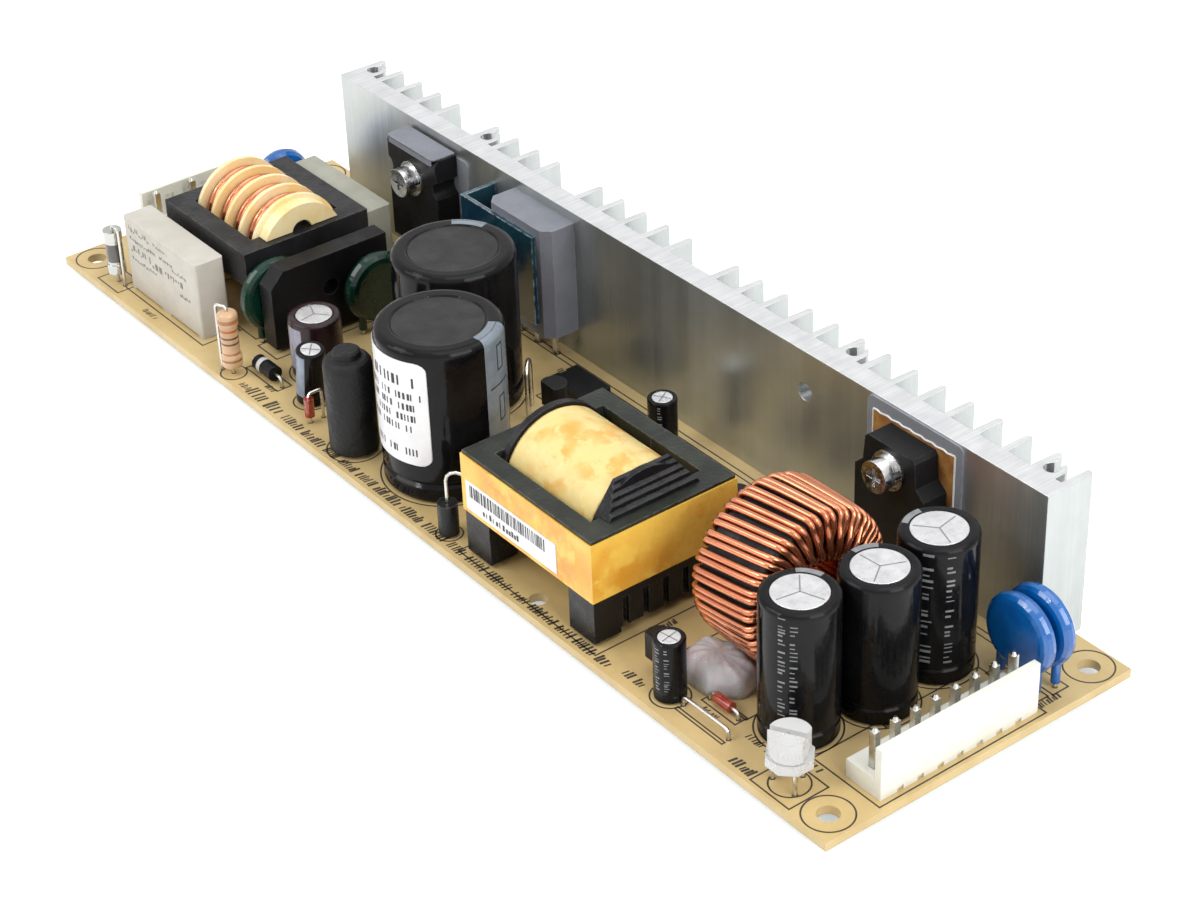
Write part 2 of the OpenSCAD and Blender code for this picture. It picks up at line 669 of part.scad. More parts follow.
fin_step = (sink_l - fin_root_t) / (fin_places - 1);
fin_gaps = [5, 10, 16];
port_fins = [0, 6, 22, 29];
port_r = port_d / 2 + port_wall;
// Each screw port lies against the right side of its fin
port_offset = 1.9;
port_y = sink_face_y + sink_plate_t + 1.8;
port_places = [for (i = port_fins) sink_x + fin_root_t / 2 + i * fin_step + port_offset];

// Tapered fin with a blunt tip, standing on the line y = 0
module fin(h) polygon([[-fin_root_t / 2, -0.5], [fin_root_t / 2, -0.5], [fin_root_t / 2, 0],
    [fin_tip_t / 2, h - 0.3], [fin_tip_t / 4, h], [-fin_tip_t / 4, h], [-fin_tip_t / 2, h - 0.3],
    [-fin_root_t / 2, 0]]);

module sink_outline() difference() {
    union() {
        square([sink_l, sink_plate_t]);
        for (i = [0:fin_places - 1])
            if (len(search(i, fin_gaps)) == 0)
                translate([fin_root_t / 2 + i * fin_step, sink_plate_t]) fin(sink_depth - sink_plate_t);
        for (x = port_places)
            translate([x - sink_x, port_y - sink_face_y]) {
                circle(r = port_r);
                translate([-port_offset, -port_r]) square([port_offset + port_r, port_r]);
                translate([-port_offset, 0]) square([port_offset, port_r]);
            }
    }
    for (x = port_places)
        translate([x - sink_x, port_y - sink_face_y]) {
            circle(d = port_d);
            translate([-port_slit / 2, 0]) square([port_slit, 2 * port_r]);
        }
}

module heatsink() color("gainsboro") difference() {
    on_board(sink_x, sink_face_y) linear_extrude(height = sink_h) sink_outline();
    for (p = device_fronts)
        on_board(p[0], sink_face_y + sink_plate_t - 0.4, p[2])
            rotate([90, 0, 0]) cylinder(h = sink_plate_t + 1, d = screw_d + 2 * touch);
    on_board(sink_hole_x, sink_face_y + sink_depth + 1, sink_hole_z)
        rotate([90, 0, 0]) cylinder(h = sink_depth + 2, d = sink_hole_d);
}

module heatsink_screws() color("silver") for (x = port_places)
    on_board(x, port_y, -board_t) difference() {
        union() {
            translate([0, 0, -underside_h]) cylinder(h = underside_h, d = foot_head_d);
            cylinder(h = board_t + foot_screw_l, d = port_d - 2 * touch);
        }
        for (a = [0, 90])
            rotate([0, 0, a]) translate([-1.4, -0.35, -underside_h - 1]) cube([2.8, 0.7, 2]);
    }

// ---- Connectors

// Base and outer wall, with the wall along y at x = 0 and the base towards +x
module connector_housing(ways, pins) {
    l = ways * conn_pitch;
    difference() {
        union() {
            translate([0, -l / 2, 0]) cube([conn_base, l, conn_base_h]);
            translate([0, -l / 2, 0]) cube([conn_wall_t, l, conn_wall_h]);
        }
        for (y = pins)
            translate([conn_row, y, conn_base_h / 2])
                cube([conn_pin + 2 * touch, conn_pin + 2 * touch, conn_base_h + 2], center = true);
        for (i = [1:ways - 1])
            translate([-1, -l / 2 + i * conn_pitch - 0.6, -1]) cube([1.4, 1.2, 1.8]);
        for (i = [0:ways - 1])
            translate([conn_wall_t - 0.4, -l / 2 + (i + 0.5) * conn_pitch - 0.9, conn_base_h])
                cube([1, 1.8, conn_wall_h - conn_base_h - 2]);
    }
}

// Square pin with a pointed tip
module connector_pin() {
    w = conn_pin / 2;
    translate([-w, -w, -board_t - underside_h])
        cube([conn_pin, conn_pin, conn_pin_h + board_t + underside_h - 0.5]);
    translate([0, 0, conn_pin_h - 0.5]) cylinder(h = 0.5, r1 = w, r2 = w * 0.5);
}

module input_connector_housing() color("white") on_board(conn_edge, input_y)
    connector_housing(input_ways, [for (i = [-2:2:2]) i * conn_pitch]);
module input_connector_pins() color("silver") for (p = input_holes)
    on_board(p[0], p[1]) connector_pin();
module output_connector_housing() color("white") on_board(board_l - conn_edge, output_y)
    rotate([0, 0, 180]) connector_housing(output_ways, [for (i = [-3.5:3.5]) i * conn_pitch]);
module output_connector_pins() color("silver") for (p = output_holes)
    on_board(p[0], p[1]) connector_pin();

// ---- Input side

fuse_z = 2.2;
module fuse_tube() color("lightgray") on_board(fuse_x, fuse_y, fuse_z) rotate_extrude()
    polygon([[0, 0], [fuse_d / 2, 0], [fuse_d / 2, 2], [fuse_d / 2 - 0.15, 2],
        [fuse_d / 2 - 0.15, fuse_l - 2], [fuse_d / 2, fuse_l - 2], [fuse_d / 2, fuse_l], [0, fuse_l]]);

// Case with rounded upright corners and a moulded step round its foot
module film_case(x, y) on_board(x, y) difference() {
    linear_extrude(height = film_h) polygon(round_rect(film_l, film_w, film_r));
    for (s = [-0.25, 0.25])
        translate([s * film_l, 0, 0]) cube([film_l / 2 - 3, film_w + 1, 0.8], center = true);
}

module film_capacitor_front() color("antiquewhite") film_case(film_mid_x, film_mid_y);
module film_capacitor_rear() color("tan") film_case(film_rear_mid_x, film_rear_mid_y);

// Closed ferrite frame with a round middle leg along x
module line_choke_core() color("dimgray") {
    difference() {
        on_board(choke_x, choke_y, choke_z - choke_t / 2) cube([choke_l, choke_w, choke_t]);
        on_board(choke_x + choke_bar, choke_y + choke_bar, choke_z - choke_t)
            cube([choke_room, choke_w - 2 * choke_bar, 2 * choke_t]);
    }
    on_board(choke_x + choke_bar - 0.5, choke_mid_y, choke_z)
        rotate([0, 90, 0]) cylinder(h = choke_room + 1, d = choke_leg_d);
}

choke_tube_r = choke_leg_d / 2 + 0.8;
choke_section = (choke_room - 0.2 - choke_flange_t) / choke_sections;

module line_choke_bobbin() color("wheat") {
    start = choke_x + choke_bar + 0.1;
    difference() {
        union() {
            on_board(start, choke_mid_y, choke_z)
                rotate([0, 90, 0]) cylinder(h = choke_room - 0.2, r = choke_tube_r);
            for (i = [0:choke_sections])
                on_board(start + i * choke_section, choke_mid_y, choke_z)
                    rotate([0, 90, 0]) cylinder(h = choke_flange_t, r = choke_flange_r, $fn = 64);
            for (s = [0, 1])
                on_board(start + s * (choke_room - 2), choke_mid_y - 7, 0)
                    cube([1.8, 14, choke_z - choke_flange_r + 0.6]);
        }
        on_board(start - 1, choke_mid_y, choke_z)
            rotate([0, 90, 0]) cylinder(h = choke_room + 2, d = choke_leg_d + 0.2);
    }
    half_moon();
}

// Half-round shelf on the last flange, above the core's end bar
module half_moon() {
    shelf_x = choke_x + choke_bar + choke_room - 0.1 - choke_flange_t;
    shelf_z = choke_z + choke_t / 2 + 0.1;
    difference() {
        on_board(shelf_x + choke_flange_t / 2, choke_mid_y, choke_z)
            rotate([0, 90, 0]) cylinder(h = 3.2, r = choke_flange_r - 0.7, $fn = 64);
        on_board(shelf_x - 1, choke_mid_y - 15, shelf_z - 30) cube([8, 30, 30]);
        on_board(shelf_x - 1, choke_mid_y, shelf_z - 0.4) rotate([0, 90, 0]) cylinder(h = 8, r = 2.1);
    }
}

module line_choke_windings() color("peru") {
    coil_r = choke_flange_r - 2;
    turns = floor((choke_section - choke_flange_t - 0.2) / choke_wire_d);
    for (i = [0:choke_sections - 1])
        on_board(choke_x + choke_bar + 0.2 + choke_flange_t + i * choke_section, choke_mid_y, choke_z)
            rotate([0, 90, 0]) difference() {
                union() {
                    cylinder(h = turns * choke_wire_d, r = coil_r);
                    for (k = [0:turns - 1])
                        translate([0, 0, (k + 0.5) * choke_wire_d])
                            rotate_extrude() translate([coil_r, 0]) circle(d = choke_wire_d - 0.02, $fn = 16);
                }
                translate([0, 0, -1]) cylinder(h = choke_section + 2, r = choke_tube_r + touch);
            }
}

module input_disc_capacitor() color("royalblue") on_board(input_disc_x, input_disc_y)
    rotate([0, 0, 90]) disc(input_disc_d, 3.4, input_disc_d / 2 + 3.4, 7.5);
module inrush_thermistor() color("darkgreen") on_board(therm_mid_x, therm_y)
    rotate([0, 0, 90]) disc(therm_d, therm_t, therm_d / 2 + 1.6, 7.5);
module surge_varistor() color("darkslategray") on_board(varistor_mid_x, varistor_y)
    rotate([0, 0, 90]) disc(varistor_d, varistor_t, varistor_d / 2 + 2, 7.5);

module bridge_rectifier() color("#202020") on_board(bridge_x, bridge_y, 1) difference() {
    rotate([90, 0, 90]) linear_extrude(height = bridge_t) polygon([[0, 0], [bridge_w, 0],
        [bridge_w, bridge_h], [bridge_chamfer, bridge_h], [0, bridge_h - bridge_chamfer]]);
    translate([-1, bridge_w / 2, bridge_h / 2 + 1]) rotate([0, 90, 0]) cylinder(h = bridge_t + 2, d = 3.2);
}

// Upright resistor with fuller ends
module bleeder_resistor() color("tan") on_board(resistor_x, resistor_y, 1.4) rotate_extrude()
    polygon(concat([[0, 0]], arc(resistor_d / 2 - 0.8, 0.8, 0.8, -90, 0),
        [[resistor_d / 2, 2.4], [resistor_d / 2 - 0.25, 3], [resistor_d / 2 - 0.25, resistor_l - 3],
         [resistor_d / 2, resistor_l - 2.4]],
        arc(resistor_d / 2 - 0.8, resistor_l - 0.8, 0.8, 0, 90), [[0, resistor_l]]));

snubber_z = 1.9;
snubber_l = 5.6;
snubber_d = 2.9;
module snubber_diode() color("#202020") {
    mid = (snubber_leads[0][0] + snubber_leads[1][0]) / 2;
    on_board(mid - snubber_l / 2, snubber_leads[0][1], snubber_z)
        rotate([0, 90, 0]) cylinder(h = snubber_l, d = snubber_d);
}

module starting_capacitor() color("#3a2a33") on_board(start_cap_x, start_cap_y, 0.3)
    can(start_cap_d, start_cap_h);

glass_d = 1.8;
glass_l = 3.6;
module glass_diodes() color("firebrick") {
    a = glass_spots[0];
    on_board(a[0][0], a[0][1], 1.4) cylinder(h = glass_l, d = glass_d);
    b = glass_spots[1];
    on_board((b[0][0] + b[1][0] - glass_l) / 2, b[0][1], 1.3)
        rotate([0, 90, 0]) cylinder(h = glass_l, d = glass_d);
}

// Leads of the fuse, the resistor and the small diodes
module axial_leads() color("silver") {
    over = 0.9;
    for (one = [[[fuse_x, fuse_y], [fuse_x + 2.45, fuse_y], fuse_z, fuse_l],
                [[resistor_x, resistor_y], resistor_foot, 1.4, resistor_l],
                [glass_spots[0][0], glass_spots[0][1], 1.4, glass_l]]) {
        on_board(one[0][0], one[0][1], -board_t) cylinder(h = board_t + one[2], d = lead_d);
        wire(one[0], one[1], one[2] + one[3] + over, 0.7, lead_d, low_p = one[2] + one[3]);
    }
    half_lead(snubber_leads[0], snubber_leads[1], snubber_z, snubber_l);
    half_lead(snubber_leads[1], snubber_leads[0], snubber_z, snubber_l);
    half_lead(glass_spots[1][0], glass_spots[1][1], 1.3, glass_l);
    half_lead(glass_spots[1][1], glass_spots[1][0], 1.3, glass_l);
}

// Lead that rises at p and turns towards q until it meets a body of length l between them
module half_lead(p, q, z, l) {
    d = unit(q - p);
    reach = (norm(q - p) - l) / 2;
    bend = 0.7;
    steps = concat([[0, -board_t]], [for (a = [0:30:90]) [bend - bend * cos(a), z - bend + bend * sin(a)]],
        [[reach, z]]);
    side = unit(cross([d[0], d[1], 0], [0, 0, 1]));
    on_board() tube([for (s = steps) [p[0] + d[0] * s[0], p[1] + d[1] * s[0], s[1]]],
        [for (s = steps) side], lead_d / 2);
}

// ---- Primary side

module damping_coil() color("#262626") on_board(damper_x, damper_y, 0.3) rotate_extrude()
    polygon(concat([[0, 0], [damper_d / 2 - 0.5, 0], [damper_d / 2, 0.5]],
        arc(damper_d / 2 - 1.6, damper_h - 3, 1.6, 0, 90),
        [[damper_d / 2 - 1.8, damper_h - 1.3], [damper_d / 2 - 1.9, damper_h - 0.3],
         [damper_d / 2 - 2.3, damper_h], [0, damper_h]]));

module bulk_capacitor_a() color("#1c1c1c") on_board(bulk_a_x, bulk_a_y) can(bulk_d, bulk_h);
module bulk_capacitor_b() color("#1c1c1c") on_board(bulk_b_x, bulk_b_y) can(bulk_d, bulk_h);

// Curved label with rounded corners, lying on the can
module bulk_capacitor_label() color("white") on_board(bulk_a_x, bulk_a_y, label_z)
    rotate([0, 0, label_turn]) {
        inner = bulk_d / 2 + 0.02;
        width = 2 * inner * sin(label_arc / 2);
        intersection() {
            difference() {
                cylinder(h = label_h + 2, r = inner + label_t, center = true, $fn = 96);
                cylinder(h = label_h + 4, r = inner, center = true, $fn = 96);
            }
            rotate([90, 0, 90]) linear_extrude(height = bulk_d)
                polygon(round_rect(width, label_h, 1.6));
        }
    }

module ferrite_bead() color("#202020") on_board(bead_x, bead_y, 0.4) difference() {
    cylinder(h = bead_l, d = bead_d);
    translate([0, 0, -1]) cylinder(h = bead_l + 2, d = lead_d + 0.3, $fn = 24);
}

module wire_links() color("silver") {
    wire(bead_leads[0], bead_leads[1], bead_l * 2.1, 1.7, lead_d);
    for (p = links)
        wire(p[0], p[1], link_h, 0.8, link_d);
}

module small_transistors() color("#202020") for (p = driver_spots) small_package(p);

module controller_chip() color("#202020") on_board(chip_x, chip_y, 0.4) difference() {
    translate([-chip_size[0] / 2, -chip_size[1] / 2, 0]) cube(chip_size);
    translate([-chip_size[0] / 2, 0, chip_size[2] - 0.4]) cylinder(h = 1, r = 0.8);
    for (x = [-1.5:1.5], s = [-1, 1])
        translate([x * 2.54 - 0.4, s * 3.81 - 0.4, -1]) cube([0.8, 0.8, 5]);
}

module optocouplers() color("#202020") for (p = opto_spots)
    on_board(p[0], p[1], 0.4) translate([-2.4, -3.2, 0]) cube([4.8, 6.4, 3.5]);

module small_capacitors() color("#26242c") for (c = small_caps)
    on_board(c[0], c[1], 0.2 + small_cap_d / 2 * sin(c[2])) rotate([0, c[2], 0]) can(small_cap_d, small_cap_h);

// ---- Transformer

// Half of the core: back, two outer legs and half of the round middle leg
module core_half() {
    half = xfmr_l / 2;
    translate([0, -xfmr_w / 2, -xfmr_t / 2]) cube([xfmr_back, xfmr_w, xfmr_t]);
    for (s = [-1, 1])
        translate([0, s * (xfmr_w - xfmr_leg) / 2 - xfmr_leg / 2, -xfmr_t / 2])
            cube([half, xfmr_leg, xfmr_t]);
    rotate([0, 90, 0]) cylinder(h = half, d = xfmr_leg_d);
}

module transformer_core_a() color("#33362f") on_board(xfmr_x, xfmr_mid_y, xfmr_mid_z) core_half();
module transformer_core_b() color("#33362f") on_board(xfmr_x + xfmr_l, xfmr_mid_y, xfmr_mid_z)
    rotate([0, 0, 180]) core_half();

bobbin_r = xfmr_leg_d / 2 + 0.1 + xfmr_wall;
bobbin_l = xfmr_room - 0.2;
bobbin_flange_r = (xfmr_w - 2 * xfmr_leg) / 2 - 0.1;
xfmr_coil_r = bobbin_flange_r - coil_margin;

module transformer_bobbin() color("#1a1a1a") {
    start = xfmr_x + xfmr_back + 0.1;
    difference() {
        union() {
            on_board(start, xfmr_mid_y, xfmr_mid_z)
                rotate([0, 90, 0]) cylinder(h = bobbin_l, r = bobbin_r);
            for (s = [0, 1])
                on_board(start + s * (bobbin_l - 1.2), xfmr_mid_y, xfmr_mid_z) flange();
            for (s = [0, 1]) rail(s);
            on_board(start + bobbin_l - 1.2, xfmr_mid_y, xfmr_lift + xfmr_t + touch) wire_guide();
        }
        on_board(start - 1, xfmr_mid_y, xfmr_mid_z)
            rotate([0, 90, 0]) cylinder(h = bobbin_l + 2, d = xfmr_leg_d + 0.2);
        for (p = xfmr_holes)
            on_board(p[0], p[1], -1) cylinder(h = 5, d = 0.9, $fn = 24);
    }
}

// Round flange with a web down to the rail
module flange() {
    rotate([0, 90, 0]) cylinder(h = 1.2, r = bobbin_flange_r, $fn = 64);
    translate([0, -bobbin_flange_r + 1.4, -xfmr_mid_z + 1])
        cube([1.2, 2 * bobbin_flange_r - 2.8, xfmr_mid_z - bobbin_r]);
}

// Stepped shelf that slopes from the flange down over the core's back
module wire_guide() intersection() {
    rotate([90, 0, 0]) translate([0, 0, -xfmr_w / 2]) linear_extrude(height = xfmr_w)
        polygon([[0, 0], [3.4, 0], [3.4, 0.7], [2.6, 1], [2.6, 1.8], [1.9, 2.1], [1.9, 2.8],
            [1.2, 3.1], [1.2, 3.8], [0.6, 4.1], [0.6, 4.7], [0, 4.9]]);
    rotate([90, 0, 90]) linear_extrude(height = 4)
        polygon([[-9, 0], [9, 0], [5.4, 4.9], [-5.4, 4.9]]);
}

// Pin rail under one end of the core, with grooves on its outer side
module rail(s) {
    x0 = s == 0 ? xfmr_x : xfmr_x + xfmr_l - rail_w;
    outer = s == 0 ? x0 : x0 + rail_w;
    difference() {
        on_board(x0, xfmr_y, 0.6) cube([rail_w, xfmr_w, xfmr_lift - 0.7]);
        for (i = [0:rail_pins - 2])
            on_board(outer - 0.7, xfmr_mid_y + (i - (rail_pins - 2) / 2) * rail_pitch - 0.6, 0)
                cube([1.4, 1.2, xfmr_lift - 1.6]);
        on_board(x0 - 1, xfmr_mid_y - 9, 0) cube([rail_w + 2, 18, 1.6]);
        on_board(xfmr_x + xfmr_back + 1.3, xfmr_mid_y, xfmr_mid_z)
            rotate([0, 90, 0]) cylinder(h = xfmr_room - 2.6, r = xfmr_coil_r + 0.2);
    }
}

module transformer_winding() color("khaki") {
    start = xfmr_x + xfmr_back + 0.1 + 1.2 + touch;
    length = bobbin_l - 2.4 - 2 * touch;
    on_board(start, xfmr_mid_y, xfmr_mid_z) rotate([0, 90, 0]) difference() {
        rotate_extrude() polygon([[bobbin_r + touch, 0], [xfmr_coil_r - 0.3, 0], [xfmr_coil_r, 0.6],
            [xfmr_coil_r, length - 0.6], [xfmr_coil_r - 0.3, length], [bobbin_r + touch, length]]);
    }
}

module transformer_tape() color("gold") {
    on_board(xfmr_mid_x, xfmr_mid_y, xfmr_lift) difference() {
        translate([-xfmr_l / 2 - xfmr_tape_t, -xfmr_w / 2 - xfmr_tape_t, 0])
            cube([xfmr_l + 2 * xfmr_tape_t, xfmr_w + 2 * xfmr_tape_t, xfmr_tape_h]);
        translate([-xfmr_l / 2, -xfmr_w / 2, -1]) cube([xfmr_l, xfmr_w, xfmr_tape_h + 2]);
    }
}

module transformer_label() color("white")
    on_board(xfmr_x + 1, xfmr_y - xfmr_tape_t - label_t, xfmr_lift + 0.8)
        cube([xfmr_l - 9.8, label_t, xfmr_t - 5.8]);

module transformer_pins() color("silver") for (p = xfmr_holes)
    on_board(p[0], p[1], -board_t - underside_h) cylinder(h = board_t + underside_h + 4, d = 0.8, $fn = 24);

// ---- Output side

ring_mid_z = ring_d / 2 + ring_wire_d + 1.2;
module ring_frame() on_board(ring_x, ring_y, ring_mid_z) rotate([0, 0, ring_turn]) children();

module output_choke_ring() color("#26241f") ring_frame() rotate([0, 90, 0])
    rotate_extrude($fn = 96) translate([(ring_d + ring_bore) / 4, 0])
        polygon(round_rect((ring_d - ring_bore) / 2, ring_w, ring_r));

module output_choke_winding() color("sandybrown") ring_frame() for (second = [0, 1]) {
    foot = -ring_mid_z - board_t;
    path = concat([ring_lead(ring_first, second, foot)],
        [for (i = [ring_first:ring_last]) ring_point(i, second)],
        [ring_lead(ring_last, second, foot)]);
    sides = concat([ring_side(ring_first)], [for (i = [ring_first:ring_last]) ring_side(i)],
        [ring_side(ring_last)]);
    tube(path, sides, ring_wire_d / 2, 6);
}

// Drops of soft adhesive that ran together at the foot of the output choke:
// place, radius and height of each
drops = [[182, 12.6, 5, 5.2], [186.6, 14.2, 4, 4], [179.4, 14.6, 3.4, 3.6]];
module adhesive_block() color("gainsboro") for (d = drops) on_board(d[0], d[1])
    rotate_extrude() polygon(concat([[0, 0]],
        [for (a = [0:15:90]) [d[2] * cos(a), d[3] * (0.2 * (1 - cos(a)) + 0.8 * sin(a) + 0.2 * cos(a) * sin(a))]]));

module output_capacitor(i) on_board(out_caps[i][0], out_caps[i][1]) can(out_cap_d, out_cap_h);
module output_capacitor_a() color("#141414") output_capacitor(0);
module output_capacitor_b() color("#141414") output_capacitor(1);
module output_capacitor_c() color("#141414") output_capacitor(2);

module output_disc_capacitors() color("dodgerblue") for (p = out_discs)
    on_board(p[0], p[1]) disc(out_disc_d, out_disc_t, out_disc_d / 2 + 2.9, 7.5);

// Square base with chamfered corners on three legs; the rotor turns on its hub
trim_base_t = 1.6;
trim_hub_d = 2;
module trimmer_base() color("white") difference() {
    union() {
        on_board(trim_x, trim_y, trim_lift) linear_extrude(height = trim_base_t)
            polygon([for (i = [0:7]) let(a = 22.5 + 45 * i) trim_side * 0.56 * [cos(a), sin(a)]]);
        on_board(trim_x, trim_y, trim_lift + 0.5) cylinder(h = trim_base_t + 1.4, d = trim_hub_d);
    }
    for (p = trim_holes)
        on_board(p[0], p[1], trim_lift - 1) cylinder(h = 1.6, d = 0.8, $fn = 24);
}

module trimmer_rotor() color("whitesmoke") on_board(trim_x, trim_y, trim_lift + trim_base_t + 0.15)
    rotate([0, 0, trim_set]) difference() {
        cylinder(h = trim_rotor_h, d = trim_rotor_d);
        translate([0, 0, -1]) cylinder(h = 2.9, d = trim_hub_d + 2 * touch);
        translate([-trim_rotor_d / 2 - 1, -0.5, trim_rotor_h - 1]) cube([trim_rotor_d + 2, 1, 2]);
        translate([trim_rotor_d / 2 - 0.7, -5, -1]) cube([5, 10, 10]);
    }

// ---- Power devices on the heatsink

module switching_transistor() color("#1c1c1c") device(switch_x, switch_back_y, switch_top);
module clamped_transistor() color("#1c1c1c") device(clamped_x, clamped_back_y, clamped_top);
// Wider package, narrowed beside its screw hole
module output_rectifier() color("#1c1c1c") {
    w = device_w / 2;
    neck = w - 2.2;
    on_board(rectifier_x, rectifier_back_y, rectifier_top) rotate([90, 0, 0]) difference() {
        linear_extrude(height = device_t) polygon([[-w, -device_h], [w, -device_h], [w, -6.6],
            [neck + 0.4, -5], [neck, -0.6], [neck - 0.6, 0], [0.6 - neck, 0], [-neck, -0.6],
            [-neck - 0.4, -5], [-w, -6.6]]);
        translate([0, -rectifier_hole_drop, -1]) cylinder(h = device_t + 2, d = device_hole_d);
    }
}

// Sleeve closed at the top, with bevelled front edges
module silicone_cap() color("gray") {
    w = device_w + 2 * cap_wall + 0.2;
    t = sink_face_y - cap_front_y;
    h = device_h + cap_wall + 0.2;
    difference() {
        on_board(clamped_x, sink_face_y, clamped_top + cap_wall + 0.1 - h)
            linear_extrude(height = h)
                polygon([[-w / 2, 0], [-w / 2, cap_bevel - t], [cap_bevel - w / 2, -t],
                    [w / 2 - cap_bevel, -t], [w / 2, cap_bevel - t], [w / 2, 0]]);
        on_board(clamped_x - device_w / 2 - 0.1, clamped_back_y - device_t - 0.1, clamped_top - device_h - 1)
            cube([device_w + 0.2, device_t + 0.1, device_h + 1.1]);
    }
}

// Bent plate that presses the silicone cap: a front wall held by a screw beside the
// transistor, and a side wall back to the heatsink
module clamp_plate() color("midnightblue") difference() {
    union() {
        on_board(clamp_x, cap_front_y - clamp_t, clamp_top - clamp_h) cube([clamp_l, clamp_t, clamp_h]);
        on_board(clamp_x, cap_front_y - clamp_t, clamp_top - clamp_h)
            cube([clamp_t, sink_face_y - cap_front_y + clamp_t, clamp_h]);
    }
    on_board(clamp_screw_x, cap_front_y + 1, clamp_screw_z)
        rotate([90, 0, 0]) cylinder(h = 4, d = screw_d + 0.3);
}

module rectifier_mica() color("saddlebrown") difference() {
    sheet(rectifier_x, mica_back_y, rectifier_top - device_h - 1, mica_w, device_h + 1.6, mica_t, 0.6);
    on_board(rectifier_x, sink_face_y, rectifier_top - rectifier_hole_drop)
        rotate([90, 0, 0]) cylinder(h = 3, d = device_hole_d);
}

module thermal_pads() color("slategray") {
    pad(rectifier_x, device_fronts[2], 1, pad_w, sink_h - 1.2);
    pad(switch_x + 1.4, device_fronts[0], 4, device_w + 4, device_h + 1.6);
}

module pad(x, hole, z0, w, h) difference() {
    sheet(x, sink_face_y, z0, w, h, pad_t, 1.2);
    on_board(hole[0], sink_face_y + 1, hole[2])
        rotate([90, 0, 0]) cylinder(h = 3, d = device_hole_d);
}

// Front faces that the screws bear on: place along the board, y and height
device_fronts = [[switch_x, switch_back_y - device_t, switch_top - device_hole_drop],
    [clamp_screw_x, cap_front_y - clamp_t, clamp_screw_z],
    [rectifier_x, rectifier_back_y - device_t, rectifier_top - rectifier_hole_drop]];

module device_screws() color("silver") for (p = device_fronts) {
    head_y = p[1] - washer_t - spring_t;
    on_board(p[0], head_y, p[2]) rotate([90, 0, 0]) difference() {
        union() {
            cylinder(h = screw_head_h, d = screw_head_d);
            translate([0, 0, -(sink_face_y + screw_grip - head_y)])
                cylinder(h = sink_face_y + screw_grip - head_y, d = screw_d);
        }
        for (a = [0, 90])
            rotate([0, 0, a]) translate([-1.6, -0.35, screw_head_h - 1]) cube([3.2, 0.7, 2]);
    }
}

module device_washers() color("lightgray") for (p = device_fronts)
    on_board(p[0], p[1], p[2]) rotate([90, 0, 0]) {
        difference() {
            cylinder(h = washer_t, d = washer_d);
            translate([0, 0, -1]) cylinder(h = 3, d = screw_d + 0.3);
        }
        translate([0, 0, washer_t]) difference() {
            cylinder(h = spring_t, d = spring_d);
            translate([0, 0, -1]) cylinder(h = 3, d = screw_d + 0.3);
            translate([0, -0.25, -1]) cube([5, 0.5, 3]);
        }
    }

// ---- Leads and solder

module component_leads() color("silver") {
    for (p = straight_leads)
        on_board(p[0], p[1], -board_t) cylinder(h = board_t + p[3], d = p[2], $fn = 24);
    for (p = switch_holes)
        flat_lead(p, switch_top - device_h);
    for (p = clamped_holes)
        flat_lead(p, clamped_top - device_h);
    for (p = rectifier_holes)
        flat_lead(p, rectifier_top - device_h);
    for (p = trim_holes)
        on_board(p[0], p[1], -board_t) cylinder(h = board_t + trim_lift + 0.5, d = 0.7, $fn = 24);
}

module flat_lead(p, top)
    on_board(p[0] - device_lead_w / 2, p[1] - device_lead_t / 2, -board_t)
        cube([device_lead_w, device_lead_t, board_t + top]);

module solder_joints() color("lightsteelblue") {
    for (p = short_leads)
        on_board(p[0], p[1], -board_t - solder_h)
            cylinder(h = solder_h, d1 = p[2] * 0.8, d2 = p[2] + 2 * solder_rim, $fn = 24);
    for (p = pin_leads)
        on_board(p[0], p[1], -board_t - solder_h) difference() {
            cylinder(h = solder_h, d1 = p[2] + 0.6, d2 = p[2] + 2 * solder_rim, $fn = 24);
            translate([0, 0, -1]) cylinder(h = solder_h + 2, d = p[2] + 2 * touch, $fn = 24);
        }
}

// ---- Output

pcb();
heatsink();
heatsink_screws();
input_connector_housing();
input_connector_pins();
fuse_tube();
axial_leads();
film_capacitor_front();
film_capacitor_rear();
line_choke_core();
line_choke_bobbin();
line_choke_windings();
input_disc_capacitor();
inrush_thermistor();
surge_varistor();
bridge_rectifier();
bleeder_resistor();
snubber_diode();
starting_capacitor();
glass_diodes();
damping_coil();
bulk_capacitor_a();
bulk_capacitor_b();
bulk_capacitor_label();
ferrite_bead();
wire_links();
small_transistors();
controller_chip();
small_capacitors();
transformer_core_a();
transformer_core_b();
transformer_bobbin();
transformer_winding();
transformer_tape();
transformer_label();
transformer_pins();
optocouplers();
output_choke_ring();
output_choke_winding();
adhesive_block();
output_capacitor_a();
output_capacitor_b();
output_capacitor_c();
trimmer_base();
trimmer_rotor();
output_connector_housing();
output_connector_pins();
output_disc_capacitors();
switching_transistor();
clamped_transistor();
silicone_cap();
clamp_plate();
output_rectifier();
rectifier_mica();
thermal_pads();
device_screws();
device_washers();
component_leads();
solder_joints();
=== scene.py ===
import math
import random

import bmesh
import bpy
from mathutils import Matrix, Vector


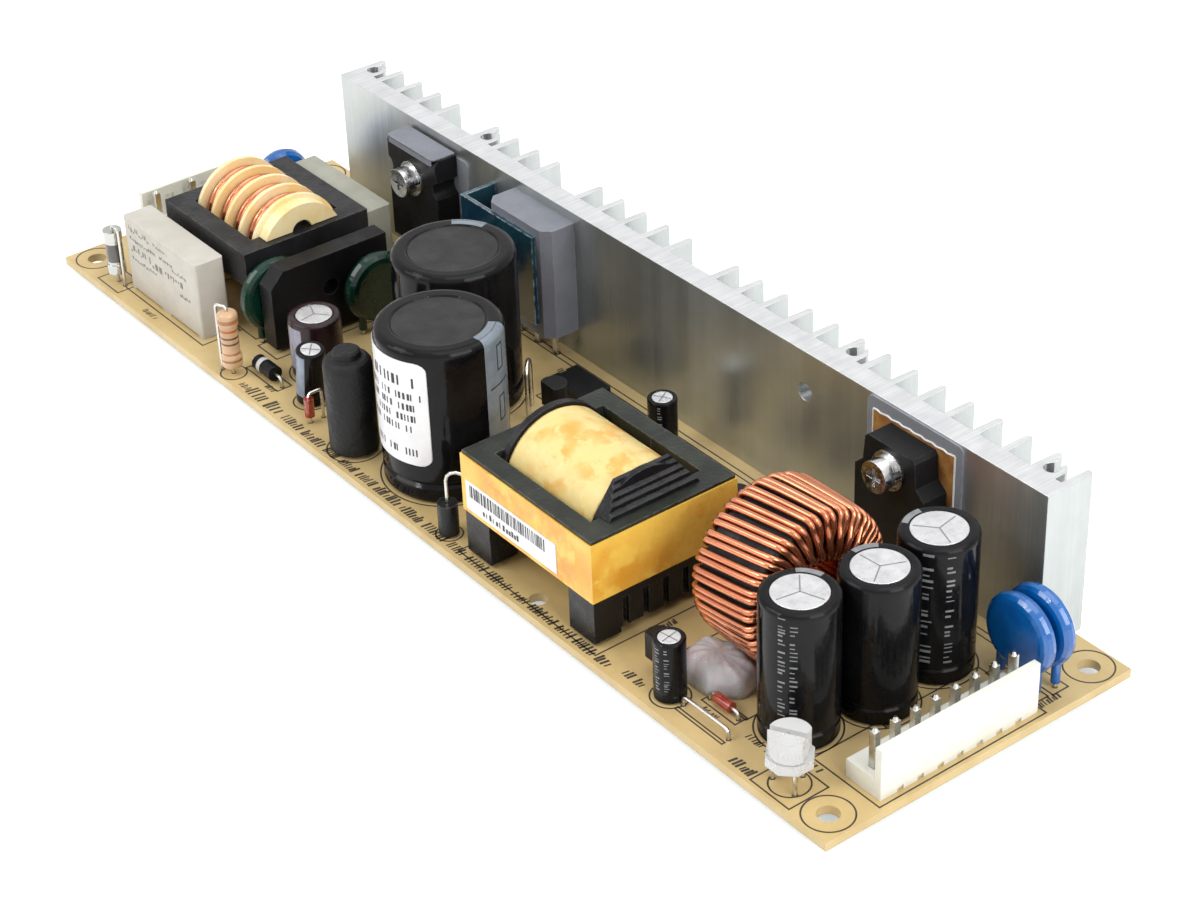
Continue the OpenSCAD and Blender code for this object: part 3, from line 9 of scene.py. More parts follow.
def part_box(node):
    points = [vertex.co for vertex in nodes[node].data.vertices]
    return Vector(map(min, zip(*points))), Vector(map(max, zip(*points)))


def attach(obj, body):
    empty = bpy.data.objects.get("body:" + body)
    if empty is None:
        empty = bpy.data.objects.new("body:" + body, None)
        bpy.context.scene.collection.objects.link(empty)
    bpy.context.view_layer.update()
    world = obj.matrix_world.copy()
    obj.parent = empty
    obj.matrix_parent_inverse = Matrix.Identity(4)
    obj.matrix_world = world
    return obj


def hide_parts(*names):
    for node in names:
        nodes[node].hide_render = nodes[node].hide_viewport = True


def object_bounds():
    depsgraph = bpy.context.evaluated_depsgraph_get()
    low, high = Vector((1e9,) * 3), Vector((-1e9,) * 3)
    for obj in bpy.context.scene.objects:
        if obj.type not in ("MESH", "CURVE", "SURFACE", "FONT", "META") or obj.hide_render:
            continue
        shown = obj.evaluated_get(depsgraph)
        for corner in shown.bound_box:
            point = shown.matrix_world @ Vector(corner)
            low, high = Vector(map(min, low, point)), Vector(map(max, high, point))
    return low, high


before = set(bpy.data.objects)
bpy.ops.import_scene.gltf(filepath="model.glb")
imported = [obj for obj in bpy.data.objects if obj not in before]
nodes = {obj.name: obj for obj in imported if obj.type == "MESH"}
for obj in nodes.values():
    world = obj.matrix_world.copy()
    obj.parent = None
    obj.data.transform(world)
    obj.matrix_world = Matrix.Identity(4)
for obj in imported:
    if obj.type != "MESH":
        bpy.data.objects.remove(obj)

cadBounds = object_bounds()
scene = bpy.context.scene
mm = 0.001
boardSize = {"length": 222, "width": 62}
boardTop = 1.6

# Centres of the upright parts, in mm from the board's front left corner
frontBulk, rearBulk = (109.2, 14.4), (90.8, 30.4)
startingCap, supplyCap, biasCap, feedbackCap = (67.9, 14.9), (75.6, 8.2), (129.2, 45.4), (181.9, 4.3)
outputCaps = [(200, 14.2), (202.8, 27.2), (201.4, 40.4)]

# The camera looks from the front right, over the output end
cameraSetup = {"place": (0.33064, -0.23080, 0.26415), "turn": (56.553, 1.828, 52.239), "lens": 83.24}
cameraData = bpy.data.cameras.new("camera")
cameraData.lens = cameraSetup["lens"]
cameraData.sensor_width = 36
camera = bpy.data.objects.new("camera", cameraData)
camera.location = cameraSetup["place"]
camera.rotation_euler = [math.radians(a) for a in cameraSetup["turn"]]
scene.collection.objects.link(camera)
scene.camera = camera
scene.view_settings.view_transform = "Standard"

lampSetups = [
    {"name": "keyLamp", "place": (-0.55, -0.95, 1.05), "size": 0.9, "power": 11},
    {"name": "topLamp", "place": (0.10, 0.35, 1.45), "size": 1.3, "power": 10.5},
    {"name": "sideLamp", "place": (1.20, 0.10, 0.75), "size": 0.8, "power": 11},
    {"name": "frontGlint", "place": (-0.10, -0.85, 0.80), "size": 0.055, "power": 1.3},
    {"name": "rightGlint", "place": (0.95, -0.20, 0.60), "size": 0.05, "power": 1.1}]


def addLamp(setup):
    data = bpy.data.lights.new(setup["name"], "AREA")
    data.size = setup["size"]
    data.energy = setup["power"]
    lamp = bpy.data.objects.new(setup["name"], data)
    lamp.location = setup["place"]
    lamp.rotation_euler = Vector(setup["place"]).to_track_quat("Z", "Y").to_euler()
    scene.collection.objects.link(lamp)


for setup in lampSetups:
    addLamp(setup)
print("lamps and camera are set")


# One shader node, its settings and its inputs; i0, i1 and so on go by number
def put(tree, kind, settings=None, **sockets):
    node = tree.nodes.new(kind)
    for key, value in (settings or {}).items():
        setattr(node, key, value)
    for key, value in sockets.items():
        socket = node.inputs[int(key[1:])] if key[0] == "i" and key[1:].isdigit() else node.inputs[key]
        if isinstance(value, bpy.types.NodeSocket):
            tree.links.new(value, socket)
        else:
            socket.default_value = value
    return node


def maths(tree, operation, a, b=0.5, clamp=False):
    return put(tree, "ShaderNodeMath", {"operation": operation, "use_clamp": clamp}, i0=a, i1=b).outputs[0]


def remap(tree, value, low, high, newLow=0.0, newHigh=1.0):
    node = put(tree, "ShaderNodeMapRange", {"interpolation_type": "SMOOTHSTEP"})
    for i, v in enumerate((value, low, high, newLow, newHigh)):
        if isinstance(v, bpy.types.NodeSocket):
            tree.links.new(v, node.inputs[i])
        else:
            node.inputs[i].default_value = v
    return node.outputs[0]


def mixColour(tree, factor, a, b):
    node = tree.nodes.new("ShaderNodeMix")
    node.data_type = "RGBA"
    for socket, value in ((node.inputs[0], factor), (node.inputs[6], a), (node.inputs[7], b)):
        if isinstance(value, bpy.types.NodeSocket):
            tree.links.new(value, socket)
        else:
            socket.default_value = value if isinstance(value, float) else (*value[:3], 1)
    return node.outputs[2]


def objectPlace(tree):
    return put(tree, "ShaderNodeTexCoord").outputs["Object"]


def makeGroup(name, inputs, outputs):
    group = bpy.data.node_groups.new(name, "ShaderNodeTree")
    for label, kind, value in inputs:
        socket = group.interface.new_socket(label, in_out="INPUT", socket_type=kind)
        if value is not None:
            socket.default_value = value
    for label, kind in outputs:
        group.interface.new_socket(label, in_out="OUTPUT", socket_type=kind)
    return group, group.nodes.new("NodeGroupInput").outputs, group.nodes.new("NodeGroupOutput").inputs


def useGroup(tree, group, **sockets):
    node = tree.nodes.new("ShaderNodeGroup")
    node.node_tree = group
    for key, value in sockets.items():
        if isinstance(value, bpy.types.NodeSocket):
            tree.links.new(value, node.inputs[key])
        else:
            node.inputs[key].default_value = value
    return node.outputs


# Broad patches, finer smudges and the grain of a moulded or cast surface
surfaceGroup, given, made = makeGroup("surfaceChange",
    [("Place", "NodeSocketVector", None), ("PatchScale", "NodeSocketFloat", 80.0),
     ("SmudgeScale", "NodeSocketFloat", 300.0), ("GrainScale", "NodeSocketFloat", 2500.0)],
    [("Patches", "NodeSocketFloat"), ("Smudges", "NodeSocketFloat"), ("Grain", "NodeSocketFloat")])
for label, scale, detail, low, high in (("Patches", "PatchScale", 3.0, 0.35, 0.68),
                                        ("Smudges", "SmudgeScale", 5.0, 0.3, 0.72),
                                        ("Grain", "GrainScale", 2.0, 0.2, 0.8)):
    noise = put(surfaceGroup, "ShaderNodeTexNoise", Vector=given["Place"], Scale=given[scale], Detail=detail)
    surfaceGroup.links.new(remap(surfaceGroup, noise.outputs[0], low, high), made[label])

# Lighter edges where the rounded normal leaves the true one: partly rubbed wear, partly a painted highlight
# catching the edges
edgeGroup, given, made = makeGroup("rubbedEdgesAndSheen",
    [("Place", "NodeSocketVector", None), ("Radius", "NodeSocketFloat", 0.0004)],
    [("Edge", "NodeSocketFloat")])
rounded = put(edgeGroup, "ShaderNodeBevel", {"samples": 4}, Radius=given["Radius"])
trueNormal = put(edgeGroup, "ShaderNodeNewGeometry").outputs["True Normal"]
facing = put(edgeGroup, "ShaderNodeVectorMath", {"operation": "DOT_PRODUCT"},
             i0=rounded.outputs[0], i1=trueNormal).outputs["Value"]
breakup = put(edgeGroup, "ShaderNodeTexNoise", Vector=given["Place"], Scale=700.0, Detail=4.0)
edgeAmount = maths(edgeGroup, "MULTIPLY", remap(edgeGroup, facing, 0.99, 0.82),
                   remap(edgeGroup, breakup.outputs[0], 0.35, 0.6))
edgeGroup.links.new(edgeAmount, made["Edge"])

# Fine lines drawn along one axis, as on extruded or brushed metal
linesGroup, given, made = makeGroup("drawnLines",
    [("Place", "NodeSocketVector", None), ("Stretch", "NodeSocketVector", (1.0, 1.0, 0.02)),
     ("Scale", "NodeSocketFloat", 3000.0)], [("Lines", "NodeSocketFloat"), ("Bands", "NodeSocketFloat")])
drawn = put(linesGroup, "ShaderNodeVectorMath", {"operation": "MULTIPLY"},
            i0=given["Place"], i1=given["Stretch"]).outputs[0]
for label, share, detail in (("Lines", 1.0, 3.0), ("Bands", 0.09, 2.0)):
    scale = maths(linesGroup, "MULTIPLY", given["Scale"], share)
    noise = put(linesGroup, "ShaderNodeTexNoise", Vector=drawn, Scale=scale, Detail=detail)
    linesGroup.links.new(remap(linesGroup, noise.outputs[0], 0.3, 0.7), made[label])


def newMaterial(name):
    material = bpy.data.materials.new(name)
    material.use_nodes = True
    tree = material.node_tree
    tree.nodes.clear()
    shader = put(tree, "ShaderNodeBsdfPrincipled")
    put(tree, "ShaderNodeOutputMaterial", Surface=shader.outputs[0])
    return material, tree, shader


# Colour, roughness that follows the wear, and a bump over edges rounded by soften
def joinSurface(tree, shader, shade, wear, rough, height, bump, strength=0.5, soften=None):
    tree.links.new(shade, shader.inputs["Base Color"])
    tree.links.new(remap(tree, wear, 0.0, 1.0, *rough), shader.inputs["Roughness"])
    normal = {}
    if soften:
        normal["Normal"] = put(tree, "ShaderNodeBevel", {"samples": 4}, Radius=soften).outputs[0]
    bumped = put(tree, "ShaderNodeBump", Height=height, Distance=bump, Strength=strength, **normal)
    tree.links.new(bumped.outputs[0], shader.inputs["Normal"])


# Shares of the smudges, of the lighter edges (rubbed wear and painted edge highlight) and of the bump that
# every plain finish has
finishShares = {"smudged": 0.25, "darker": 0.72, "edgeWearAndSheen": 0.7, "bump": 0.6}


# One finish from its dictionary: colour, tint, scales, roughness range, bump, lighter edge for wear and
# painted highlight, shader values
def finish(name, colour, tint, patch=80.0, smudge=300.0, rough=(0.4, 0.6), grain=2500.0, bump=0.00002,
           soften=0.00015, edge=None, edgeRadius=0.0004, **values):
    material, tree, shader = newMaterial(name)
    place = objectPlace(tree)
    change = useGroup(tree, surfaceGroup, Place=place, PatchScale=patch, SmudgeScale=smudge, GrainScale=grain)
    shade = mixColour(tree, change["Patches"], colour, tint)
    smudged = maths(tree, "MULTIPLY", change["Smudges"], finishShares["smudged"])
    shade = mixColour(tree, smudged, shade, [finishShares["darker"] * c for c in colour])
    if edge:
        # Edge colour mixed in: rubbed wear and a painted edge highlight
        edgeWearAndSheen = useGroup(tree, edgeGroup, Place=place, Radius=edgeRadius)["Edge"]
        shade = mixColour(tree, maths(tree, "MULTIPLY", edgeWearAndSheen, finishShares["edgeWearAndSheen"]), shade, edge)
    joinSurface(tree, shader, shade, change["Smudges"], rough, change["Grain"], bump, finishShares["bump"],
                soften)
    for key, value in values.items():
        shader.inputs[key].default_value = value
    return material


def dress(material, *names):
    for name in names:
        for slot in nodes[name].material_slots:
            slot.material = material


# Matte white moulded nylon of both connectors
nylonFinish = {"colour": (0.82, 0.82, 0.75), "tint": (0.76, 0.76, 0.68), "rough": (0.38, 0.55),
               "Subsurface Weight": 0.12, "Subsurface Scale": 0.001, "Subsurface Radius": (1.0, 1.0, 0.9)}
nylon = finish("whiteNylon", **nylonFinish)
dress(nylon, "input_connector_housing", "output_connector_housing")

tinFinish = {"colour": (0.66, 0.65, 0.61), "tint": (0.52, 0.50, 0.45), "patch": 260.0, "smudge": 420.0,
             "rough": (0.18, 0.36), "grain": 2600.0, "bump": 0.000003, "Metallic": 1.0}
tin = finish("tinnedWire", **tinFinish)
dress(tin, "input_connector_pins", "output_connector_pins", "transformer_pins", "component_leads",
      "axial_leads", "wire_links")

screwFinish = {"colour": (0.70, 0.70, 0.70), "tint": (0.52, 0.52, 0.53), "patch": 400.0, "smudge": 900.0,
               "rough": (0.16, 0.34), "grain": 4000.0, "bump": 0.000008, "Metallic": 1.0}
platedSteel = finish("platedSteel", **screwFinish)
dress(platedSteel, "heatsink_screws", "device_screws", "device_washers")

solderFinish = {"colour": (0.74, 0.74, 0.74), "tint": (0.60, 0.60, 0.60), "patch": 600.0, "smudge": 1500.0,
                "rough": (0.14, 0.32), "grain": 3500.0, "bump": 0.00003, "Metallic": 1.0}
dress(finish("solder", **solderFinish), "solder_joints")

filmFinish = {"colour": (0.56, 0.53, 0.47), "tint": (0.51, 0.48, 0.42), "rough": (0.42, 0.6),
              "grain": 3000.0, "bump": 0.00002, "edge": (0.70, 0.68, 0.61)}
dress(finish("filmCase", **filmFinish), "film_capacitor_front")
rearFilmFinish = {"colour": (0.34, 0.34, 0.28), "tint": (0.29, 0.29, 0.23), "rough": (0.4, 0.58),
                  "grain": 3000.0, "bump": 0.00002, "edge": (0.5, 0.48, 0.40)}
dress(finish("rearFilmCase", **rearFilmFinish), "film_capacitor_rear")

ferriteFinish = {"colour": (0.010, 0.010, 0.011), "tint": (0.020, 0.020, 0.022), "patch": 120.0,
                 "rough": (0.28, 0.5), "grain": 1800.0, "bump": 0.00005, "edge": (0.12, 0.12, 0.12),
                 "Specular IOR Level": 0.25}
dress(finish("chokeFerrite", **ferriteFinish), "line_choke_core", "ferrite_bead")

bobbinFinish = {"colour": (0.90, 0.77, 0.46), "tint": (0.88, 0.62, 0.24), "patch": 160.0,
                "rough": (0.25, 0.45), "grain": 2500.0, "bump": 0.00002, "Subsurface Weight": 0.15,
                "Subsurface Scale": 0.0008}
dress(finish("creamBobbin", **bobbinFinish), "line_choke_bobbin")

blueFinish = {"colour": (0.002, 0.115, 0.40), "tint": (0.001, 0.085, 0.33), "patch": 250.0,
              "rough": (0.12, 0.24), "grain": 900.0, "bump": 0.00005, "Coat Weight": 0.6,
              "Coat Roughness": 0.08}
dress(finish("blueCoating", **blueFinish), "input_disc_capacitor", "output_disc_capacitors")
greenFinish = {"colour": (0.002, 0.030, 0.017), "tint": (0.001, 0.014, 0.009), "patch": 250.0,
               "rough": (0.12, 0.28), "grain": 900.0, "bump": 0.00006, "Coat Weight": 0.25,
               "Coat Roughness": 0.08, "Specular IOR Level": 0.3}
dress(finish("greenCoating", **greenFinish), "inrush_thermistor", "surge_varistor")

epoxyFinish = {"colour": (0.006, 0.006, 0.007), "tint": (0.010, 0.010, 0.011), "rough": (0.3, 0.46),
               "grain": 3500.0, "bump": 0.00004, "edge": (0.06, 0.06, 0.065), "Specular IOR Level": 0.18}
epoxy = finish("blackEpoxy", **epoxyFinish)
dress(epoxy, "bridge_rectifier", "small_transistors", "controller_chip", "optocouplers",
      "switching_transistor", "clamped_transistor", "output_rectifier")

shrinkFinish = {"colour": (0.009, 0.009, 0.009), "tint": (0.018, 0.018, 0.018), "patch": 300.0,
                "rough": (0.42, 0.6), "grain": 1200.0, "bump": 0.0001, "Specular IOR Level": 0.2}
dress(finish("shrinkSleeve", **shrinkFinish), "damping_coil")

sleeveFinish = {"colour": (0.004, 0.004, 0.005), "tint": (0.008, 0.008, 0.009), "patch": 120.0,
                "smudge": 200.0, "rough": (0.06, 0.13), "grain": 500.0, "bump": 0.00003, "soften": 0.0005,
                "Specular IOR Level": 0.15}
blackSleeve = finish("blackSleeve", **sleeveFinish)
dress(blackSleeve, "bulk_capacitor_a", "bulk_capacitor_b", "small_capacitors", "output_capacitor_a",
      "output_capacitor_b", "output_capacitor_c")
brownFinish = {"colour": (0.026, 0.010, 0.013), "tint": (0.018, 0.007, 0.009), "patch": 120.0,
               "rough": (0.16, 0.3), "grain": 700.0, "bump": 0.00003, "soften": 0.0004,
               "Specular IOR Level": 0.3}
dress(finish("brownSleeve", **brownFinish), "starting_capacitor")

padFinish = {"colour": (0.21, 0.225, 0.25), "tint": (0.18, 0.19, 0.215), "rough": (0.5, 0.7),
             "grain": 1800.0, "bump": 0.00006, "edge": (0.34, 0.36, 0.40)}
dress(finish("greySilicone", **padFinish), "thermal_pads")
capFinish = {"colour": (0.19, 0.20, 0.235), "tint": (0.155, 0.165, 0.195), "rough": (0.34, 0.5),
             "grain": 1400.0, "bump": 0.00005, "edge": (0.36, 0.39, 0.43)}
capRubber = finish("blueGreySilicone", **capFinish)
dress(capRubber, "silicone_cap")

# Dark blue glossy clamp plate; its pale blue-white edge colour is a painted highlight along its edges
clampFinish = {"colour": (0.006, 0.022, 0.045), "tint": (0.01, 0.05, 0.07), "patch": 120.0,
               "rough": (0.06, 0.16), "Coat Weight": 0.7, "Coat Roughness": 0.06,
               "edge": (0.50, 0.66, 0.74)}
dress(finish("blueClamp", **clampFinish), "clamp_plate")

micaFinish = {"colour": (0.28, 0.11, 0.035), "tint": (0.42, 0.22, 0.06), "patch": 220.0, "rough": (0.2, 0.4),
              "grain": 1500.0, "bump": 0.00003, "Coat Weight": 0.4}
dress(finish("brownMica", **micaFinish), "rectifier_mica")

paperFinish = {"colour": (0.84, 0.84, 0.85), "tint": (0.78, 0.78, 0.80), "rough": (0.3, 0.45),
               "grain": 2200.0, "bump": 0.00001}
dress(finish("whiteLabel", **paperFinish), "bulk_capacitor_label", "transformer_label")

trimmerFinish = {"colour": (0.80, 0.80, 0.79), "tint": (0.72, 0.72, 0.71), "rough": (0.2, 0.36),
                 "Transmission Weight": 0.25, "IOR": 1.45}
dress(finish("clearNylon", **trimmerFinish), "trimmer_base", "trimmer_rotor")


# A round part's colour bands: low, high, colour and whether it is bare metal, along one axis
def bandedFinish(name, axis, bands, **settings):
    material = finish(name, **settings)
    tree = material.node_tree
    shader = next(n for n in tree.nodes if n.type == "BSDF_PRINCIPLED")
    shade = shader.inputs["Base Color"].links[0].from_socket
    along = put(tree, "ShaderNodeSeparateXYZ", Vector=objectPlace(tree)).outputs[axis]
    metal = None
    for low, high, colour, *bare in bands:
        inside = maths(tree, "MULTIPLY", maths(tree, "GREATER_THAN", along, low * mm),
                       maths(tree, "LESS_THAN", along, high * mm))
        shade = mixColour(tree, inside, shade, colour)
        if bare:
            metal = maths(tree, "MAXIMUM", metal, inside) if metal else inside
    tree.links.new(shade, shader.inputs["Base Color"])
    if metal:
        tree.links.new(metal, shader.inputs["Metallic"])
    return material


redGlassFinish = {"colour": (0.42, 0.02, 0.01), "tint": (0.55, 0.10, 0.03), "patch": 600.0,
                  "rough": (0.05, 0.14), "bump": 0.00001, "Transmission Weight": 0.3, "Coat Weight": 0.5}
dress(finish("redGlass", **redGlassFinish), "glass_diodes")

resistorFinish = {"colour": (0.62, 0.40, 0.23), "tint": (0.52, 0.31, 0.16), "patch": 300.0,
                  "rough": (0.25, 0.42), "grain": 1400.0, "bump": 0.00004, "Coat Weight": 0.2}
resistorBands = [
    (10.9, 11.7, (0.36, 0.15, 0.05)), (9.1, 9.6, (0.42, 0.10, 0.02)), (7.7, 8.1, (0.10, 0.04, 0.02)),
    (6.5, 6.9, (0.12, 0.05, 0.02)), (4.4, 4.8, (0.40, 0.16, 0.05)), (3.0, 3.5, (0.30, 0.14, 0.05))]
resistorBands = [(low + boardTop, high + boardTop, colour) for low, high, colour in resistorBands]
dress(bandedFinish("resistorLacquer", 2, resistorBands, **resistorFinish), "bleeder_resistor")

fuseFinish = {"colour": (0.06, 0.055, 0.05), "tint": (0.10, 0.09, 0.08), "patch": 400.0,
              "rough": (0.08, 0.2), "Coat Weight": 0.5}
fuseCaps = [(3.0, 6.4, (0.42, 0.42, 0.40), "metal"), (10.2, 14.0, (0.46, 0.46, 0.44), "metal")]
dress(bandedFinish("fuseTube", 2, fuseCaps, **fuseFinish), "fuse_tube")

diodeBands = [(-48.9, -47.8, (0.55, 0.55, 0.54))]
dress(bandedFinish("bandedEpoxy", 0, diodeBands, **epoxyFinish), "snubber_diode")

copperFinish = {"colour": (0.66, 0.245, 0.12), "tint": (0.52, 0.16, 0.07), "patch": 110.0, "smudge": 220.0,
                "rough": (0.14, 0.28), "grain": 1400.0, "bump": 0.000003, "Metallic": 0.85,
                "Coat Weight": 0.5, "Coat Roughness": 0.12}
copper = finish("enamelledCopper", **copperFinish)
dress(copper, "line_choke_windings")

ringFinish = {"colour": (0.008, 0.008, 0.008), "tint": (0.018, 0.018, 0.018), "rough": (0.35, 0.6),
              "grain": 1500.0, "bump": 0.00006, "Specular IOR Level": 0.2}
dress(finish("coatedRing", **ringFinish), "output_choke_ring")

xfmrFerriteFinish = {"colour": (0.012, 0.014, 0.011), "tint": (0.026, 0.029, 0.022), "patch": 140.0,
                     "rough": (0.3, 0.5), "grain": 1400.0, "bump": 0.00007, "edge": (0.13, 0.13, 0.10),
                     "Specular IOR Level": 0.3}
dress(finish("transformerFerrite", **xfmrFerriteFinish), "transformer_core_a", "transformer_core_b")
xfmrBobbinFinish = {"colour": (0.006, 0.006, 0.007), "tint": (0.010, 0.010, 0.012), "rough": (0.22, 0.4),
                    "grain": 2200.0, "bump": 0.00004, "edge": (0.07, 0.07, 0.075),
                    "Specular IOR Level": 0.25}
dress(finish("transformerBobbin", **xfmrBobbinFinish), "transformer_bobbin")
print("plain finishes are set")


# Yellow tapes: varnish soaks in as orange blotches above the level
tapeSetup = {"smudge": 420.0, "grain": 1600.0, "fine": 2.2, "soft": 0.12, "soaked": 0.9, "smudged": 0.22,
             "darker": 0.86, "rough": (0.26, 0.44), "bump": 0.00008}
windingTape = {"colour": (0.77, 0.60, 0.24), "soaked": (0.72, 0.33, 0.03), "scale": 150.0, "level": 0.44}
coreTape = {"colour": (0.88, 0.56, 0.09), "soaked": (0.68, 0.26, 0.01), "scale": 60.0, "level": 0.42}


def tapeMaterial(name, colour, soaked, scale, level):
    material, tree, shader = newMaterial(name)
    place = objectPlace(tree)
    change = useGroup(tree, surfaceGroup, Place=place, PatchScale=scale, SmudgeScale=tapeSetup["smudge"],
                      GrainScale=tapeSetup["grain"])
    blotches = put(tree, "ShaderNodeTexNoise", Vector=place, Scale=scale * tapeSetup["fine"], Detail=5.0,
                   Roughness=0.6)
    soak = maths(tree, "MULTIPLY", remap(tree, blotches.outputs[0], level, level + tapeSetup["soft"]),
                 change["Patches"])
    shade = mixColour(tree, maths(tree, "MULTIPLY", soak, tapeSetup["soaked"]), colour, soaked)
    smudged = maths(tree, "MULTIPLY", change["Smudges"], tapeSetup["smudged"])
    shade = mixColour(tree, smudged, shade, [tapeSetup["darker"] * c for c in colour])
    joinSurface(tree, shader, shade, change["Smudges"], tapeSetup["rough"], change["Smudges"],
                tapeSetup["bump"])
    return material


dress(tapeMaterial("windingTape", **windingTape), "transformer_winding")
dress(tapeMaterial("coreTape", **coreTape), "transformer_tape")


# Tan laminate above, green mask over copper below
laminateSetup = {"colour": (0.60, 0.445, 0.205), "tint": (0.53, 0.38, 0.155), "weave": (0.72, 0.57, 0.30),
                 "smudge": (0.38, 0.25, 0.10), "mask": (0.006, 0.055, 0.028),
                 "maskTint": (0.010, 0.075, 0.038), "maskTop": 0.04 * mm, "woven": 0.45,
                 "smudged": 0.25, "rough": (0.3, 0.5), "bump": 0.00002}


def boardMaterial(look):
    material, tree, shader = newMaterial("laminate")
    place = objectPlace(tree)
    change = useGroup(tree, surfaceGroup, Place=place, PatchScale=24.0, SmudgeScale=180.0, GrainScale=1800.0)
    weave = put(tree, "ShaderNodeTexNoise", Vector=place, Scale=900.0, Detail=6.0, Roughness=0.7)
    shade = mixColour(tree, change["Patches"], look["colour"], look["tint"])
    woven = maths(tree, "MULTIPLY", weave.outputs[0], look["woven"])
    shade = mixColour(tree, woven, shade, look["weave"])
    smudged = maths(tree, "MULTIPLY", change["Smudges"], look["smudged"])
    shade = mixColour(tree, smudged, shade, look["smudge"])
    height = put(tree, "ShaderNodeSeparateXYZ", Vector=place).outputs[2]
    below = maths(tree, "LESS_THAN", height, look["maskTop"])
    mask = mixColour(tree, change["Smudges"], look["mask"], look["maskTint"])
    joinSurface(tree, shader, mixColour(tree, below, shade, mask), change["Smudges"], look["rough"],
                weave.outputs[0], look["bump"])
    return material


dress(boardMaterial(laminateSetup), "pcb")


# Extruded aluminium: drawn lines up the faces; the faces that look up and down are much lighter, sawn matte
# metal with painted light where the top catches the lamps
# end and sawLine colours: sawn metal, with painted light on the top faces
aluminiumSetup = {"face": (0.455, 0.485, 0.475), "band": (0.50, 0.53, 0.52), "line": (0.38, 0.39, 0.38),
                  "end": (0.78, 0.79, 0.80), "sawLine": (0.68, 0.69, 0.70), "smudge": (0.36, 0.37, 0.36),
                  "lined": 0.18, "smudged": 0.2, "grained": 0.3, "rough": (0.30, 0.36), "metal": 0.85,
                  "soften": 0.0002, "bump": 0.00002}


def heatsinkMaterial(look):
    material, tree, shader = newMaterial("extrudedAluminium")
    place = objectPlace(tree)
    drawn = useGroup(tree, linesGroup, Place=place, Stretch=(1.0, 1.0, 0.015), Scale=2600.0)
    sawn = useGroup(tree, linesGroup, Place=place, Stretch=(1.0, 0.03, 1.0), Scale=2400.0)
    change = useGroup(tree, surfaceGroup, Place=place, PatchScale=40.0, SmudgeScale=260.0, GrainScale=2600.0)
    normal = put(tree, "ShaderNodeNewGeometry").outputs["True Normal"]
    up = put(tree, "ShaderNodeSeparateXYZ", Vector=normal).outputs[2]
    # Faces that look up and down take the light end colour: sawn metal, and painted light on the top
    sawnAndLitEnds = remap(tree, maths(tree, "ABSOLUTE", up), 0.7, 0.8)
    faces = mixColour(tree, drawn["Bands"], look["face"], look["band"])
    faces = mixColour(tree, maths(tree, "MULTIPLY", drawn["Lines"], look["lined"]), faces, look["line"])
    ends = mixColour(tree, sawn["Lines"], look["end"], look["sawLine"])
    shade = mixColour(tree, sawnAndLitEnds, faces, ends)
    smudged = maths(tree, "MULTIPLY", change["Smudges"], look["smudged"])
    shade = mixColour(tree, smudged, shade, look["smudge"])
    height = maths(tree, "ADD", drawn["Lines"], maths(tree, "MULTIPLY", change["Grain"], look["grained"]))
    joinSurface(tree, shader, shade, drawn["Bands"], look["rough"], height, look["bump"],
                soften=look["soften"])
    shader.inputs["Metallic"].default_value = look["metal"]
    return material


dress(heatsinkMaterial(aluminiumSetup), "heatsink")
print("board and heatsink are dressed")


# A place on the board: mm from its front left corner, z above its top face
def board(x, y, z=0.0):
    return Vector(((x - boardSize["length"] / 2) * mm, (y - boardSize["width"] / 2) * mm,
                   (boardTop + z) * mm))


def pieceFrom(name, mesh, material, smooth=False):
    data = bpy.data.meshes.new(name)
    bmesh.ops.recalc_face_normals(mesh, faces=mesh.faces)
    mesh.to_mesh(data)
    mesh.free()
    data.materials.append(material)
    if smooth:
        for face in data.polygons:
            face.use_smooth = True
    piece = bpy.data.objects.new(name, data)
    scene.collection.objects.link(piece)
    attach(piece, "supply")
    return piece


def addPrism(mesh, outline, z0, z1):
    lower = [mesh.verts.new((x, y, z0)) for x, y in outline]
    upper = [mesh.verts.new((x, y, z1)) for x, y in outline]
    mesh.faces.new(lower[::-1])
    mesh.faces.new(upper)
    count = len(outline)
    for i in range(count):
        mesh.faces.new((lower[i], lower[(i + 1) % count], upper[(i + 1) % count], upper[i]))


# A closed outline of (radius, height) points swept round an upright axis
def addArcSolid(mesh, centre, outline, start=0.0, end=360.0, steps=48):
    closed = end - start >= 360
    count = steps if closed else steps + 1
    sides = len(outline)
    rings = []
    for i in range(count):
        a = math.radians(start + (end - start) * i / steps)
        c, s = math.cos(a), math.sin(a)
        rings.append([mesh.verts.new((centre[0] + r * c, centre[1] + r * s, z)) for r, z in outline])
    for i in range(steps):
        a, b = rings[i], rings[(i + 1) % count]
        for k in range(sides):
            mesh.faces.new((a[k], b[k], b[(k + 1) % sides], a[(k + 1) % sides]))
    if not closed:
        mesh.faces.new(rings[0])
        mesh.faces.new(rings[-1][::-1])


def addBand(mesh, centre, inner, outer, z0, z1, start=0.0, end=360.0, steps=48):
    addArcSolid(mesh, centre, [(inner, z0), (outer, z0), (outer, z1), (inner, z1)], start, end, steps)


# A profile of (radius, height) points that starts and ends on its upright axis
def addTurned(mesh, profile, centre, steps=32):
    rings = []
    for r, h in profile:
        angles = [2 * math.pi * i / steps for i in range(steps)] if r else [0]
        rings.append([mesh.verts.new((centre[0] + r * math.cos(a), centre[1] + r * math.sin(a),
                                      centre[2] + h)) for a in angles])
    for a, b in zip(rings, rings[1:]):
        for i in range(steps):
            j = (i + 1) % steps
            corners = list(dict.fromkeys((a[i % len(a)], a[j % len(a)], b[j % len(b)], b[i % len(b)])))
            if len(corners) > 2:
                mesh.faces.new(corners)


